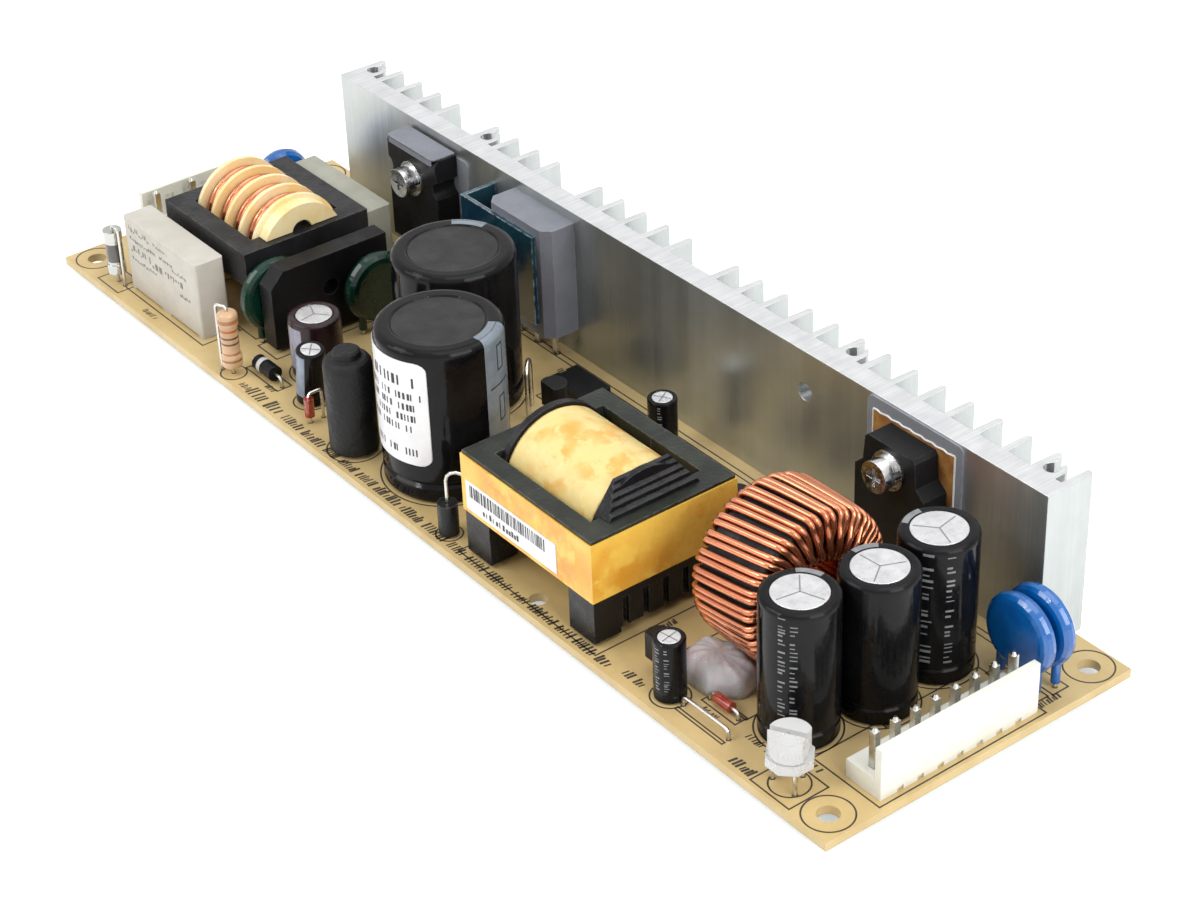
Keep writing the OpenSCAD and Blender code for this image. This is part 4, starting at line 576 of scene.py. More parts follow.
# Black print on the board: outlines, rings and rows of plain bars
printSetup = {"width": 0.28 * mm, "height": 0.02 * mm, "lift": 0.004 * mm, "slant": 0.14, "seed": 7}
inkFinish = {"colour": (0.035, 0.028, 0.020), "tint": (0.07, 0.055, 0.04), "patch": 500.0,
             "rough": (0.45, 0.6), "bump": 0.000005}
ink = finish("boardInk", **inkFinish)
printMesh = bmesh.new()
printLow = boardTop * mm + printSetup["lift"]
chance = random.Random(printSetup["seed"])


# Places of bars in word-like bunches: how many in the first and the later ones, the gap and the steps
def bunches(start, end, unit, first, later, gap, steps):
    spot, left = start, chance.randint(*first)
    while spot < end:
        if left == 0:
            spot += gap * unit
            left = chance.randint(*later)
        yield spot
        spot += unit * chance.choice(steps)
        left -= 1


def printLine(p, q, width=printSetup["width"]):
    a, b = board(*p), board(*q)
    along = (b - a).normalized() * width / 2
    side = Vector((-along.y, along.x, 0))
    corners = [a - along - side, b + along - side, b + along + side, a - along + side]
    addPrism(printMesh, [(c.x, c.y) for c in corners], printLow, printLow + printSetup["height"])


def printFrame(x0, y0, x1, y1):
    w = printSetup["width"] / mm
    printLine((x0, y0), (x1 - w, y0))
    printLine((x1, y0), (x1, y1 - w))
    printLine((x1, y1), (x0 + w, y1))
    printLine((x0, y1), (x0, y0 + w))


def printRing(place, radius):
    half = printSetup["width"] / 2
    addBand(printMesh, board(*place), radius * mm - half, radius * mm + half, printLow,
            printLow + printSetup["height"])


# Rows of upright bars, slanted as board print often is
boardBunches = {"first": (3, 8), "later": (4, 9), "gap": 0.6, "steps": (0.4, 0.5, 0.6)}


def printBars(x, y, length, height, turn):
    along = Vector((math.cos(math.radians(turn)), math.sin(math.radians(turn)), 0))
    up = Vector((-along.y, along.x, 0))
    for reach in bunches(0.0, length, height, **boardBunches):
        foot = Vector((x, y, 0)) + along * reach
        tall = height * chance.choice((1.0, 1.0, 0.62, 0.8))
        base = foot + up * chance.choice((0.0, 0.0, 0.2)) * (height - tall)
        tip = base + up * tall + along * printSetup["slant"] * height
        printLine((base.x, base.y), (tip.x, tip.y), height * chance.choice((0.22, 0.34)) * mm)


frames = [
    (17.2, 3.2, 46.4, 11.4), (21.4, 11.9, 51.0, 38.3), (20.6, 37.9, 50.0, 45.6), (53.2, 11.0, 59.6, 38.6),
    (11.4, 0.9, 19.0, 6.2), (130.2, 1.6, 166.8, 32.4), (174.6, 9.2, 193.8, 41.0), (206.8, 11.0, 221.2, 44.6),
    (0.9, 15.6, 10.8, 37.4), (100.4, 39.6, 112.8, 49.4), (136.6, 35.4, 145.4, 44.6),
    (147.6, 35.4, 156.4, 44.6), (208.6, 44.4, 218.6, 47.6), (208.9, 48.4, 218.9, 51.6),
    (58.4, 5.2, 69.0, 8.2), (184.8, 2.8, 195.8, 3.4), (185.8, 7.2, 193.6, 9.6), (204.6, 0.8, 213.2, 8.4)]
rings = [
    ((4.5, 4.5), 4.0), ((217.5, 4.5), 4.0), ((4.5, 57.5), 4.0), ((217.5, 57.5), 4.0), (frontBulk, 11.6),
    (rearBulk, 11.6), (outputCaps[0], 6.8), (outputCaps[1], 6.8), (outputCaps[2], 6.8), (startingCap, 5.4),
    ((93.3, 5.8), 4.9), (supplyCap, 3.2), (biasCap, 3.2), (feedbackCap, 3.2), ((58.4, 2.6), 2.4),
    ((208.9, 4.7), 3.2), ((125.2, 3.3), 2.3)]
# Rows of bars: x, y, length, height and turn
barRows = [
    (65.5, 0.9, 10.0, 2.1, 0), (77.0, 1.0, 93.0, 1.45, 0), (129.5, 35.0, 30.0, 1.0, 0),
    (173.0, 2.0, 4.6, 1.3, 0), (196.8, 6.6, 4.4, 1.2, 0), (199.5, 1.2, 4.2, 1.4, 0),
    (118.0, 34.0, 3.4, 1.0, 0), (143.0, 47.6, 3.4, 1.0, 0), (114.0, 42.0, 3.0, 1.0, 0),
    (180.0, 8.4, 3.4, 1.2, 0), (187.5, 5.6, 3.2, 1.0, 0), (206.0, 9.4, 3.2, 1.1, 0),
    (219.9, 45.0, 4.0, 1.1, 90), (62.5, 1.2, 3.0, 1.0, 0), (66.2, 4.4, 2.4, 0.9, 0),
    (73.5, 12.6, 2.6, 0.9, 0), (52.6, 4.4, 3.0, 0.9, 90), (12.0, 8.0, 3.0, 1.0, 0),
    (28.0, 1.2, 4.0, 1.0, 0), (96.0, 47.6, 3.4, 1.0, 0), (70.0, 46.0, 3.0, 1.0, 0),
    (168.4, 14.0, 3.0, 1.0, 90), (208.6, 24.0, 3.0, 1.0, 90), (166.0, 47.0, 3.4, 1.0, 0),
    (197.0, 48.4, 3.0, 1.0, 0), (210.5, 43.0, 2.6, 1.0, 0)]
for corners in frames:
    printFrame(*corners)
for place, radius in rings:
    printRing(place, radius)
for y in (51.6, 50.4):  # along the heatsink's foot
    printLine((19.0, y), (211.0, y))
for row in barRows:
    printBars(*row)
printLine((134.0, 36.9), (164.0, 36.9))
pieceFrom("boardPrint", printMesh, ink)
print("board print is laid")

# Copper tracks under the green mask; sharpest is the least cosine of a mitre
traceSetup = {"height": 0.035 * mm, "step": 0.0015 * mm, "sunk": 0.002 * mm, "sharpest": 0.6}
traceFinish = {"colour": (0.030, 0.17, 0.075), "tint": (0.024, 0.14, 0.06), "patch": 60.0,
               "rough": (0.25, 0.42), "grain": 1200.0, "bump": 0.00002}
maskedCopper = finish("maskedCopper", **traceFinish)
traceMesh = bmesh.new()


# One flat track with mitred corners; each lies a hair deeper than the last, so no two faces coincide
def trace(points, width, order):
    spots = [board(*p) for p in points]
    half = width * mm / 2
    sides = []
    for i, p in enumerate(spots):
        before = p - spots[i - 1] if i else spots[1] - p
        after = spots[i + 1] - p if i + 1 < len(spots) else before
        along = (before.normalized() + after.normalized()).normalized()
        side = Vector((-along.y, along.x, 0))
        reach = half / max(traceSetup["sharpest"], along.dot(before.normalized()))
        end = along * half * ((i + 1 == len(spots)) - (i == 0))
        sides.append((p + end, side * reach))
    corners = [p + side for p, side in sides] + [p - side for p, side in sides[::-1]]
    low = -traceSetup["height"] - order * traceSetup["step"]
    addPrism(traceMesh, [(c.x, c.y) for c in corners[::-1]], low, -traceSetup["sunk"])


traceRoutes = [
    ([(6.5, 18.6), (14, 18.6), (17, 10), (20.5, 7.3)], 3.0), ([(6.5, 34.4), (16, 41), (24, 41.6)], 3.0),
    ([(43, 7.3), (52.5, 12.5), (52.5, 20)], 3.4), ([(48, 41.6), (60.5, 36), (62.3, 28.3)], 3.2),
    ([(56.4, 13.4), (72, 10), (92, 24), (91, 25.4)], 4.0), ([(56.4, 35.8), (70, 42), (91, 35.4)], 4.0),
    ([(91, 25.4), (100, 12), (109, 9.4)], 5.0), ([(91, 35.4), (104, 28), (109, 19.4)], 4.4),
    ([(51, 51.3), (74, 48), (110, 46), (133, 38), (134.7, 27)], 3.2),
    ([(56.6, 51.3), (62, 46), (86, 46)], 2.4), ([(85.6, 51.1), (100, 40), (116, 28), (134.7, 19)], 2.8),
    ([(93.3, 7.8), (118, 4), (134.7, 7)], 2.2), ([(162, 7), (172, 12), (177, 21), (178, 25)], 5.0),
    ([(162, 27), (172, 36), (182, 51)], 5.0), ([(192, 20), (198, 16), (200, 11.7)], 5.2),
    ([(200, 16.7), (203, 24.7)], 5.0), ([(203, 29.7), (201.4, 38)], 5.0), ([(203, 24.7), (216.7, 20)], 6.0),
    ([(201.4, 43), (216.7, 38)], 6.0), ([(182, 51), (196, 47), (201.4, 43)], 4.6),
    ([(181.9, 4.3), (196, 4.3), (206, 6)], 1.6), ([(106, 40.8), (118, 38), (129, 45)], 1.4),
    ([(139.7, 43.8), (152, 46), (160, 36)], 1.4), ([(114.6, 33.4), (120, 22), (125, 4)], 1.6),
    ([(68, 17.4), (76, 8)], 1.8)]
for order, (points, width) in enumerate(traceRoutes):
    trace(points, width, order)
pieceFrom("maskedTraces", traceMesh, maskedCopper)
print("traces are laid")

# Two-strand winding of the output choke, in mm; cover is the wound part of the ring in degrees
windingSetup = {"centre": (184.6, 25.5, 14.85), "ring": 25.4, "bore": 14.5, "width": 12.6, "round": 0.8,
                "wire": 1.08, "clear": 0.15, "pitch": 1.12, "bend": 1.6, "straight": 2, "turns": 24,
                "cover": 318.0, "fine": 4}


# One turn's stations: radius, place across the ring, the way outwards (two shares), the roll of the
# strand pair in degrees and the share of the turn gone by
def windingStations(s):
    inner, outer, half = s["bore"] / 2, s["ring"] / 2, s["width"] / 2
    gap = s["wire"] / 2 + s["clear"]
    d = math.sqrt(0.5)
    corner = (s["round"] + gap) * d - s["round"]
    flat = half - s["straight"]
    bend = s["bend"]
    return [(inner - gap, -flat, -1, 0, 0, 0), (inner - gap, flat, -1, 0, 0, 0),
            (inner - corner, half + corner, -d, d, 0, 0), (inner + bend, half + gap, 0, 1, 45, 0),
            (outer - bend, half + gap, 0, 1, 90, 0), (outer + corner, half + corner, d, d, 90, 0.15),
            (outer + gap, flat, 1, 0, 90, 0.3), (outer + gap, -flat, 1, 0, 90, 0.7),
            (outer + corner, -half - corner, d, -d, 90, 0.85), (outer - bend, -half - gap, 0, -1, 90, 1),
            (inner + bend, -half - gap, 0, -1, 45, 1), (inner - corner, -half - corner, -d, -d, 0, 1)]


def windingRoute(s, second):
    stations = windingStations(s)
    count = len(stations)
    start = -90 + (360 - s["cover"]) / 2
    route = []
    for i in range(-2, s["turns"] * count - 1):
        r, across, nr, na, roll, share = stations[i % count]
        a = math.radians(start + (i // count + share) * s["cover"] / s["turns"])
        point = Vector((across, r * math.cos(a), r * math.sin(a)))
        side = Vector((na, nr * math.cos(a), nr * math.sin(a)))
        tangent = Vector((0, -math.sin(a), math.cos(a)))
        point += second * s["wire"] * s["pitch"] * (math.cos(math.radians(roll)) * side
                                                    + math.sin(math.radians(roll)) * tangent)
        route.append(point)
    foot = -s["centre"][2] - boardTop
    first, last = route[0], route[-1]
    return [Vector((first.x, first.y, foot))] + route + [Vector((last.x, last.y, foot))]


def smoothRoute(points, fine):
    out = [points[0]]
    for i in range(1, len(points) - 2):
        a, b, c, d = points[i - 1], points[i], points[i + 1], points[i + 2]
        for k in range(fine):
            t = k / fine
            out.append(0.5 * (2 * b + (c - a) * t + (2 * a - 5 * b + 4 * c - d) * t * t
                              + (3 * b - a - 3 * c + d) * t ** 3))
    return out + [points[-2], points[-1]]


def wirePiece(name, routes, radius, material, resolution=3):
    data = bpy.data.curves.new(name, "CURVE")
    data.dimensions = "3D"
    data.bevel_depth = radius
    data.bevel_resolution = resolution
    data.use_fill_caps = True
    for route in routes:
        spline = data.splines.new("POLY")
        spline.points.add(len(route) - 1)
        for point, place in zip(spline.points, route):
            point.co = (*place, 1)
    data.materials.append(material)
    piece = bpy.data.objects.new(name, data)
    scene.collection.objects.link(piece)
    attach(piece, "supply")
    return piece


def outputChokeWire(setup):
    centre = board(*setup["centre"])
    strands = [[centre + p * mm for p in smoothRoute(windingRoute(setup, second), setup["fine"])]
               for second in (0, 1)]
    winding = wirePiece("outputChokeWire", strands, setup["wire"] / 2 * mm, copper)
    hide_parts("output_choke_winding")


outputChokeWire(windingSetup)
print("output choke is wound")

# Aluminium vent plates in the capacitor tops, with the scores that let them burst, drawn as thin dark strips:
# painted shade in the grooves
ventFinish = {"colour": (0.76, 0.76, 0.77), "tint": (0.64, 0.64, 0.66), "patch": 500.0, "smudge": 900.0,
              "rough": (0.24, 0.42), "grain": 2500.0, "bump": 0.00002, "Metallic": 0.9}
ventMetal = finish("ventAluminium", **ventFinish)
stripeFinish = {"colour": (0.20, 0.24, 0.28), "tint": (0.17, 0.20, 0.24), "patch": 300.0,
                "rough": (0.16, 0.28), "bump": 0.00001}
stripeInk = finish("sleeveStripe", **stripeFinish)

# Dark grey of the scores: painted shade in the stamped grooves
scoreShadeFinish = {"colour": (0.20, 0.20, 0.21), "tint": (0.26, 0.26, 0.27), "patch": 700.0, "rough": (0.4, 0.6),
               "bump": 0.000005}
scoreShade = finish("scoreGrooveShade", **scoreShadeFinish)

# Place with its height above the board and radius in mm, first spoke in degrees, number of spokes
ventSetups = [
    {"name": "ventOutputA", "place": (*outputCaps[0], 25.0), "radius": 4.45, "turn": 20, "spokes": 3},
    {"name": "ventOutputB", "place": (*outputCaps[1], 25.0), "radius": 4.45, "turn": 65, "spokes": 3},
    {"name": "ventOutputC", "place": (*outputCaps[2], 25.0), "radius": 4.45, "turn": 100, "spokes": 3},
    {"name": "ventStarting", "place": (*startingCap, 11.9), "radius": 3.3, "turn": 40, "spokes": 3},
    {"name": "ventBias", "place": (*biasCap, 11.2), "radius": 1.8, "turn": 30, "spokes": 4},
    {"name": "ventFeedback", "place": (*feedbackCap, 11.2), "radius": 1.8, "turn": 10, "spokes": 4}]
plateSetup = {"low": -0.24 * mm, "high": -0.03 * mm, "drop": 0.04 * mm, "edge": 0.06 * mm}
scoreSetup = {"half": 0.12 * mm, "start": 0.02 * mm, "reach": 0.9, "low": 0.001 * mm, "high": 0.012 * mm}


def ventTop(setup):
    r = setup["radius"] * mm
    centre = board(*setup["place"])
    low, high = plateSetup["low"], plateSetup["high"]
    plate = [(0, low), (r, low), (r, high - plateSetup["drop"]), (r - plateSetup["edge"], high), (0, high)]
    mesh = bmesh.new()
    addTurned(mesh, plate, centre, 40)
    piece = pieceFrom(setup["name"], mesh, ventMetal)
    scores = bmesh.new()
    for k in range(setup["spokes"]):
        t = math.radians(360 * k / setup["spokes"] + setup["turn"])
        along = Vector((math.cos(t), math.sin(t), 0))
        side = Vector((-along.y, along.x, 0)) * scoreSetup["half"]
        near, far = along * scoreSetup["start"], along * r * scoreSetup["reach"]
        ends = (near - side, far - side, far + side, near + side)
        outline = [(centre.x + e.x, centre.y + e.y) for e in ends]
        top = centre.z + high
        addPrism(scores, outline, top + scoreSetup["low"], top + scoreSetup["high"])
    return piece, pieceFrom(setup["name"] + "Score", scores, scoreShade)


# Lean a piece towards the output end about its foot
def leanOver(piece, foot, degrees, lift):
    piece.data.transform(Matrix.Translation(foot + Vector((0, 0, lift)))
                         @ Matrix.Rotation(math.radians(degrees), 4, "Y") @ Matrix.Translation(-foot))


for setup in ventSetups:
    ventTop(setup)
leaningSetup = {"name": "ventSupply", "place": (*supplyCap, 11.2), "radius": 1.8, "turn": 50, "spokes": 4,
                "lean": 8, "lift": 0.36, "foot": 0.2}
leaningFoot = board(*supplyCap, leaningSetup["foot"])
for piece in ventTop(leaningSetup):
    leanOver(piece, leaningFoot, leaningSetup["lean"], leaningSetup["lift"] * mm)
print("capacitor tops are scored")

# Stripes, marks and rows of plain bars on sleeves, cases and labels
markInk = finish("blackInk", **dict(inkFinish, colour=(0.012, 0.012, 0.013), tint=(0.03, 0.03, 0.03)))
paleInkFinish = {"colour": (0.24, 0.25, 0.26), "tint": (0.17, 0.18, 0.19), "patch": 600.0,
                 "rough": (0.2, 0.34), "bump": 0.000005}
paleInk = finish("paleSleeveInk", **paleInkFinish)
lilacFinish = {"colour": (0.27, 0.27, 0.36), "tint": (0.36, 0.36, 0.45), "patch": 300.0,
               "rough": (0.2, 0.34), "bump": 0.00001}
lilacInk = finish("lilacStripe", **lilacFinish)
skin = 0.02  # mm that print stands off a sleeve


# A thin patch on an upright round sleeve: angles in degrees, heights above the board
def addPatch(mesh, place, radius, low, high, start, end):
    addBand(mesh, board(*place), (radius + 0.25 * skin) * mm, (radius + skin) * mm, (boardTop + low) * mm,
            (boardTop + high) * mm, start, end, max(2, int(abs(end - start) / 6)))


# A row of bars along the height of a sleeve, as print that reads upwards
columnBunches = {"first": (2, 6), "later": (2, 6), "gap": 0.7, "steps": (0.5, 0.62, 0.76)}


def addColumn(mesh, place, radius, low, high, angle, width):
    turn = math.degrees(width / radius)
    a, b = angle - turn / 2, angle + turn / 2
    for z in bunches(low, high, width, **columnBunches):
        cut = chance.choice((0.0, 0.0, 0.35)) * turn
        addPatch(mesh, place, radius, z, z + width * chance.choice((0.16, 0.28)), a, b - cut)


# Rows of bars round a sleeve, as the lines on a wrapped label
labelBunches = {"first": (3, 7), "later": (3, 7), "gap": 0.8, "steps": (0.5, 0.62, 0.7)}


def addLabelRow(mesh, place, radius, low, height, start, end):
    step = math.degrees(height / radius)
    for a in bunches(start, end - step, step, **labelBunches):
        addPatch(mesh, place, radius, low, low + height, a, a + step * chance.choice((0.2, 0.36)))


# Lines of a label: height above the board, bar height, start and end angle
labelSetup = {"radius": 11.14, "rows": [
    (22.6, 1.9, -134, -52), (20.1, 1.25, -128, -52), (18.0, 1.25, -128, -52), (15.9, 1.25, -104, -52),
    (13.8, 1.25, -122, -56), (9.2, 1.35, -112, -52)]}
labelMesh = bmesh.new()
for low, height, start, end in labelSetup["rows"]:
    addLabelRow(labelMesh, frontBulk, labelSetup["radius"], low, height, start, end)
pieceFrom("labelRows", labelMesh, markInk)

# Bulk sleeves, in mm; each stripe runs round its can from middle - half to middle + half degrees
bulkSetup = {"radius": 11.0, "height": 29.4, "shoulder": 1.32, "rim": 8.4, "low": 9.0, "half": 19,
             "topSkin": 0.001, "stripes": [(frontBulk, 27), (rearBulk, 127)]}


# A stripe up the side of a large sleeve, over its shoulder and on to the rim
def addShoulderStripe(mesh, place, setup, start, end):
    r, top, shoulder = setup["radius"], setup["height"], setup["shoulder"]
    path = [(r, setup["low"])]
    for a in range(0, 91, 10):
        t = math.radians(a)
        path.append((r - shoulder + shoulder * math.cos(t), top - shoulder + shoulder * math.sin(t)))
    path.append((setup["rim"], top))
    outer = [(x + skin * (z < top - 0.01), min(z + skin * (z > top - shoulder), top + setup["topSkin"]))
             for x, z in path]
    outline = [(x * mm, (boardTop + z) * mm) for x, z in outer + path[::-1]]
    addArcSolid(mesh, board(*place), outline, start, end, 8)


stripeMesh = bmesh.new()
for place, middle in bulkSetup["stripes"]:
    addShoulderStripe(stripeMesh, place, bulkSetup, middle - bulkSetup["half"], middle + bulkSetup["half"])
pieceFrom("bulkStripes", stripeMesh, stripeInk)

# Outlined oblongs and a cross line on each stripe: low edges, height, half width in degrees, line width
oblongSetup = {"marks": [(frontBulk, 29), (rearBulk, 127)], "lows": (22.4, 12.6), "height": 4.9, "half": 5,
               "line": 0.3, "side": 1.4, "cross": (19.6, 19.9, -16, 14)}


def stripeMarks(setup):
    mesh = bmesh.new()
    radius = bulkSetup["radius"] + skin
    half, line, side = setup["half"], setup["line"], setup["side"]
    for place, middle in setup["marks"]:
        for low in setup["lows"]:
            high = low + setup["height"]
            for z0, z1, a0, a1 in ((low, low + line, -half, half), (high - line, high, -half, half),
                                   (low, high, -half, side - half), (low, high, half - side, half)):
                addPatch(mesh, place, radius, z0, z1, middle + a0, middle + a1)
        z0, z1, a0, a1 = setup["cross"]
        addPatch(mesh, place, radius, z0, z1, middle + a0, middle + a1)
    pieceFrom("stripeMarks", mesh, markInk)


stripeMarks(oblongSetup)

# Matte tops sunk inside the bulk capacitors' rims
topFinish = {"colour": (0.026, 0.026, 0.026), "tint": (0.034, 0.034, 0.034), "patch": 200.0,
             "rough": (0.5, 0.66), "grain": 1600.0, "bump": 0.00004, "Specular IOR Level": 0.2}
topSetup = {"radius": 7.9 * mm, "edge": 0.2 * mm, "low": -0.24 * mm, "side": -0.2 * mm, "high": -0.17 * mm}
topMesh = bmesh.new()
for place in (frontBulk, rearBulk):
    addTurned(topMesh, [(0, topSetup["low"]), (topSetup["radius"], topSetup["low"]),
                        (topSetup["radius"], topSetup["side"]),
                        (topSetup["radius"] - topSetup["edge"], topSetup["high"]), (0, topSetup["high"])],
              board(*place, bulkSetup["height"]), 56)
pieceFrom("bulkTops", topMesh, finish("matteTop", **topFinish))

# Plain stripes on the starting capacitor and on the one that leans
startingStripe = {"radius": 4.8, "low": 2.2, "high": 10.8, "start": -136, "end": -64}
stripeMesh = bmesh.new()
addPatch(stripeMesh, startingCap, **startingStripe)
pieceFrom("startingStripe", stripeMesh, lilacInk)
blueStripeFinish = {"colour": (0.20, 0.25, 0.33), "tint": (0.28, 0.33, 0.42), "patch": 400.0,
                    "rough": (0.2, 0.34), "bump": 0.00001}
leaningStripe = {"radius": 2.6, "low": 2.0, "high": 10.7, "start": -128, "end": -58}
stripeMesh = bmesh.new()
addPatch(stripeMesh, supplyCap, **leaningStripe)
piece = pieceFrom("leaningStripe", stripeMesh, finish("blueStripe", **blueStripeFinish))
leanOver(piece, leaningFoot, leaningSetup["lean"], leaningSetup["lift"] * mm)

# Columns of bars on the output and small sleeves, and the output sleeves' pale stripes
sleevePrintSetup = {
    "outputColumns": [(0, -49, 1.15), (0, -66, 1.15), (2, -58, 1.7), (2, -26, 1.3), (1, 60, 1.4),
                      (0, 110, 1.4), (2, 150, 1.4), (1, 170, 1.2)],
    "outputSleeve": {"radius": 6.25, "low": 4.4, "high": 23.4},
    "smallColumns": [(feedbackCap, -50), (biasCap, -50), (feedbackCap, -85)],
    "smallSleeve": {"radius": 2.6, "low": 2.6, "high": 10.4},
    "smallWidth": 0.8,
    "stripeStarts": (100, 140, 170),
    "rim": {"inner": 4.7 * mm, "outer": 5.75 * mm, "height": 25.0, "sweep": 46},
    "stripe": {"low": 4.0, "high": 24.0, "start": 14, "end": 30}}


def sleevePrint(setup):
    mesh = bmesh.new()
    for which, angle, width in setup["outputColumns"]:
        addColumn(mesh, outputCaps[which], angle=angle, width=width, **setup["outputSleeve"])
    for place, angle in setup["smallColumns"]:
        addColumn(mesh, place, angle=angle, width=setup["smallWidth"], **setup["smallSleeve"])
    rim, stripe = setup["rim"], setup["stripe"]
    for place, start in zip(outputCaps, setup["stripeStarts"]):
        addBand(mesh, board(*place), rim["inner"], rim["outer"], (boardTop + rim["height"]) * mm,
                (boardTop + rim["height"] + skin) * mm, start, start + rim["sweep"], 8)
        addPatch(mesh, place, setup["outputSleeve"]["radius"], stripe["low"], stripe["high"],
                 start + stripe["start"], start + stripe["end"])
    pieceFrom("sleevePrint", mesh, paleInk)


sleevePrint(sleevePrintSetup)


# A bar on an upright flat face that looks towards the front edge
def addFrontBar(mesh, x, z, width, height, face):
    low, high = board(x, 0, z), board(x + width, 0, z + height)
    y = face - 0.012 * mm
    addPrism(mesh, [(low.x, y - skin * mm), (high.x, y - skin * mm), (high.x, y), (low.x, y)], low.z, high.z)


# Rows on the front film capacitor: x, height above the board, length and bar height
filmRows = [
    (20.6, 13.0, 7.0, 1.2), (29.6, 13.2, 5.0, 0.8), (20.6, 11.0, 9.5, 0.9), (31.5, 11.4, 4.6, 0.8),
    (20.6, 8.6, 5.4, 1.5), (27.4, 8.2, 4.0, 1.9), (33.0, 8.4, 6.6, 1.7), (20.6, 6.8, 9.0, 0.8),
    (38.0, 6.2, 3.4, 0.8), (36.0, 10.6, 5.0, 0.8)]
filmInkFinish = {"colour": (0.17, 0.16, 0.14), "tint": (0.26, 0.25, 0.22), "patch": 700.0,
                 "rough": (0.45, 0.6), "bump": 0.000005}
filmMesh = bmesh.new()
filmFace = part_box("film_capacitor_front")[0][1]
for x, z, length, height in filmRows:
    reach = 0.0
    while reach < length:
        wide = height * chance.choice((0.2, 0.3, 0.5))
        addFrontBar(filmMesh, x + reach, z + chance.choice((0.0, 0.3)) * height, wide,
                    height * chance.choice((0.3, 0.7, 0.7)), filmFace)
        reach += wide + 0.28 * height
pieceFrom("filmPrint", filmMesh, finish("filmPrintInk", **filmInkFinish))

# The transformer label's close bars, with a looser row below them
labelBarSetup = {"close": {"start": 133.6, "end": 153.6, "low": 12.1, "height": 2.3},
                 "loose": {"start": 137.0, "end": 147.0, "low": 10.2}}


def labelBars(close, loose):
    mesh = bmesh.new()
    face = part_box("transformer_label")[0][1]
    reach = close["start"]
    while reach < close["end"]:
        wide = chance.choice((0.14, 0.14, 0.26, 0.4))
        addFrontBar(mesh, reach, close["low"], wide, close["height"], face)
        reach += wide + chance.choice((0.14, 0.2, 0.34))
    reach = loose["start"]
    while reach < loose["end"]:
        addFrontBar(mesh, reach, loose["low"], chance.choice((0.2, 0.5)), chance.choice((0.8, 1.1)), face)
        reach += chance.choice((0.7, 0.9))
    pieceFrom("labelBars", mesh, markInk)


labelBars(**labelBarSetup)
print("labels, stripes and print are on")

# Blue-grey flap over the switching transistor, in mm: it hangs over the front and turns down; its light
# colour is a painted highlight, the sky reflected in the transistor's glossy top
flapSetup = {"thick": 0.3, "reach": 0.35, "inset": 0.4, "back": 0.1, "lift": 0.01, "corner": 0.6,
             "lip": 0.3, "drop": 1.1, "overlap": 0.1}


def highlightFlap(setup):
    low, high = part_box("switching_transistor")
    size = {key: value * mm for key, value in setup.items()}
    x0, x1 = low[0] + size["inset"], high[0] - size["inset"]
    y0, y1 = low[1] - size["reach"], high[1] - size["back"]
    z0, z1 = high[2] + size["lift"], high[2] + size["thick"]
    near, far = x0 + size["corner"], x1 - size["corner"]
    y2 = y0 + size["corner"]
    mesh = bmesh.new()
    # The sheet's light blue-grey on the transistor's top is a painted highlight
    addPrism(mesh, [(near, y0), (far, y0), (x1, y2), (x1, y1), (x0, y1), (x0, y2)], z0, z1)
    lip = [(near, y0), (far, y0), (far, y0 + size["lip"]), (near, y0 + size["lip"])]
    addPrism(mesh, lip, z0 - size["drop"], z0 + size["overlap"])
    pieceFrom("highlightFlap", mesh, capRubber)


highlightFlap(flapSetup)

# White grease squeezed out round the mica, in mm
greaseFinish = {"colour": (0.80, 0.80, 0.78), "tint": (0.68, 0.68, 0.66), "patch": 700.0,
                "rough": (0.3, 0.5), "grain": 900.0, "bump": 0.0001}
greaseSetup = {"width": 0.34, "wander": 0.16, "step": 0.8, "ripple": 2.1, "foot": 1.0, "seed": 11}


def greaseBead(setup):
    wander = random.Random(setup["seed"])
    low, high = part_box("rectifier_mica")
    y = (low[1] + high[1]) / 2
    foot = low[2] + setup["foot"] * mm
    corners = [Vector((x, y, z)) for x, z in ((low[0], foot), (low[0], high[2]), (high[0], high[2]),
                                              (high[0], foot))]
    routes = []
    for start, end in zip(corners, corners[1:]):
        count = int((end - start).length / (setup["step"] * mm))
        lean = wander.uniform(0.6, 1.0) * setup["wander"] * mm
        routes.append([start.lerp(end, k / count) + Vector((0, 0, lean * math.sin(setup["ripple"] * k)))
                       for k in range(count + 1)])
    wirePiece("greaseBead", routes, setup["width"] / 2 * mm, finish("whiteGrease", **greaseFinish), 2)


greaseBead(greaseSetup)
print("flap and grease are on")

# Soft adhesive poured round the foot of the output choke; sum brings its waves to about one
adhesiveSetup = {"rows": 22, "around": 72, "ripple": 0.2, "crease": 0.16, "waves": 6, "sum": 3.3,
                 "lean": 5.0, "fill": 0.98, "seed": 5}
adhesiveFinish = {"colour": (0.84, 0.80, 0.82), "tint": (0.76, 0.71, 0.74), "patch": 160.0, "smudge": 500.0,
                  "rough": (0.14, 0.3), "grain": 400.0, "bump": 0.0002, "soften": 0.0006,
                  "Transmission Weight": 0.25, "IOR": 1.40, "Subsurface Weight": 0.5,
                  "Subsurface Scale": 0.003}
adhesiveMaterial = finish("milkyAdhesive", **adhesiveFinish)


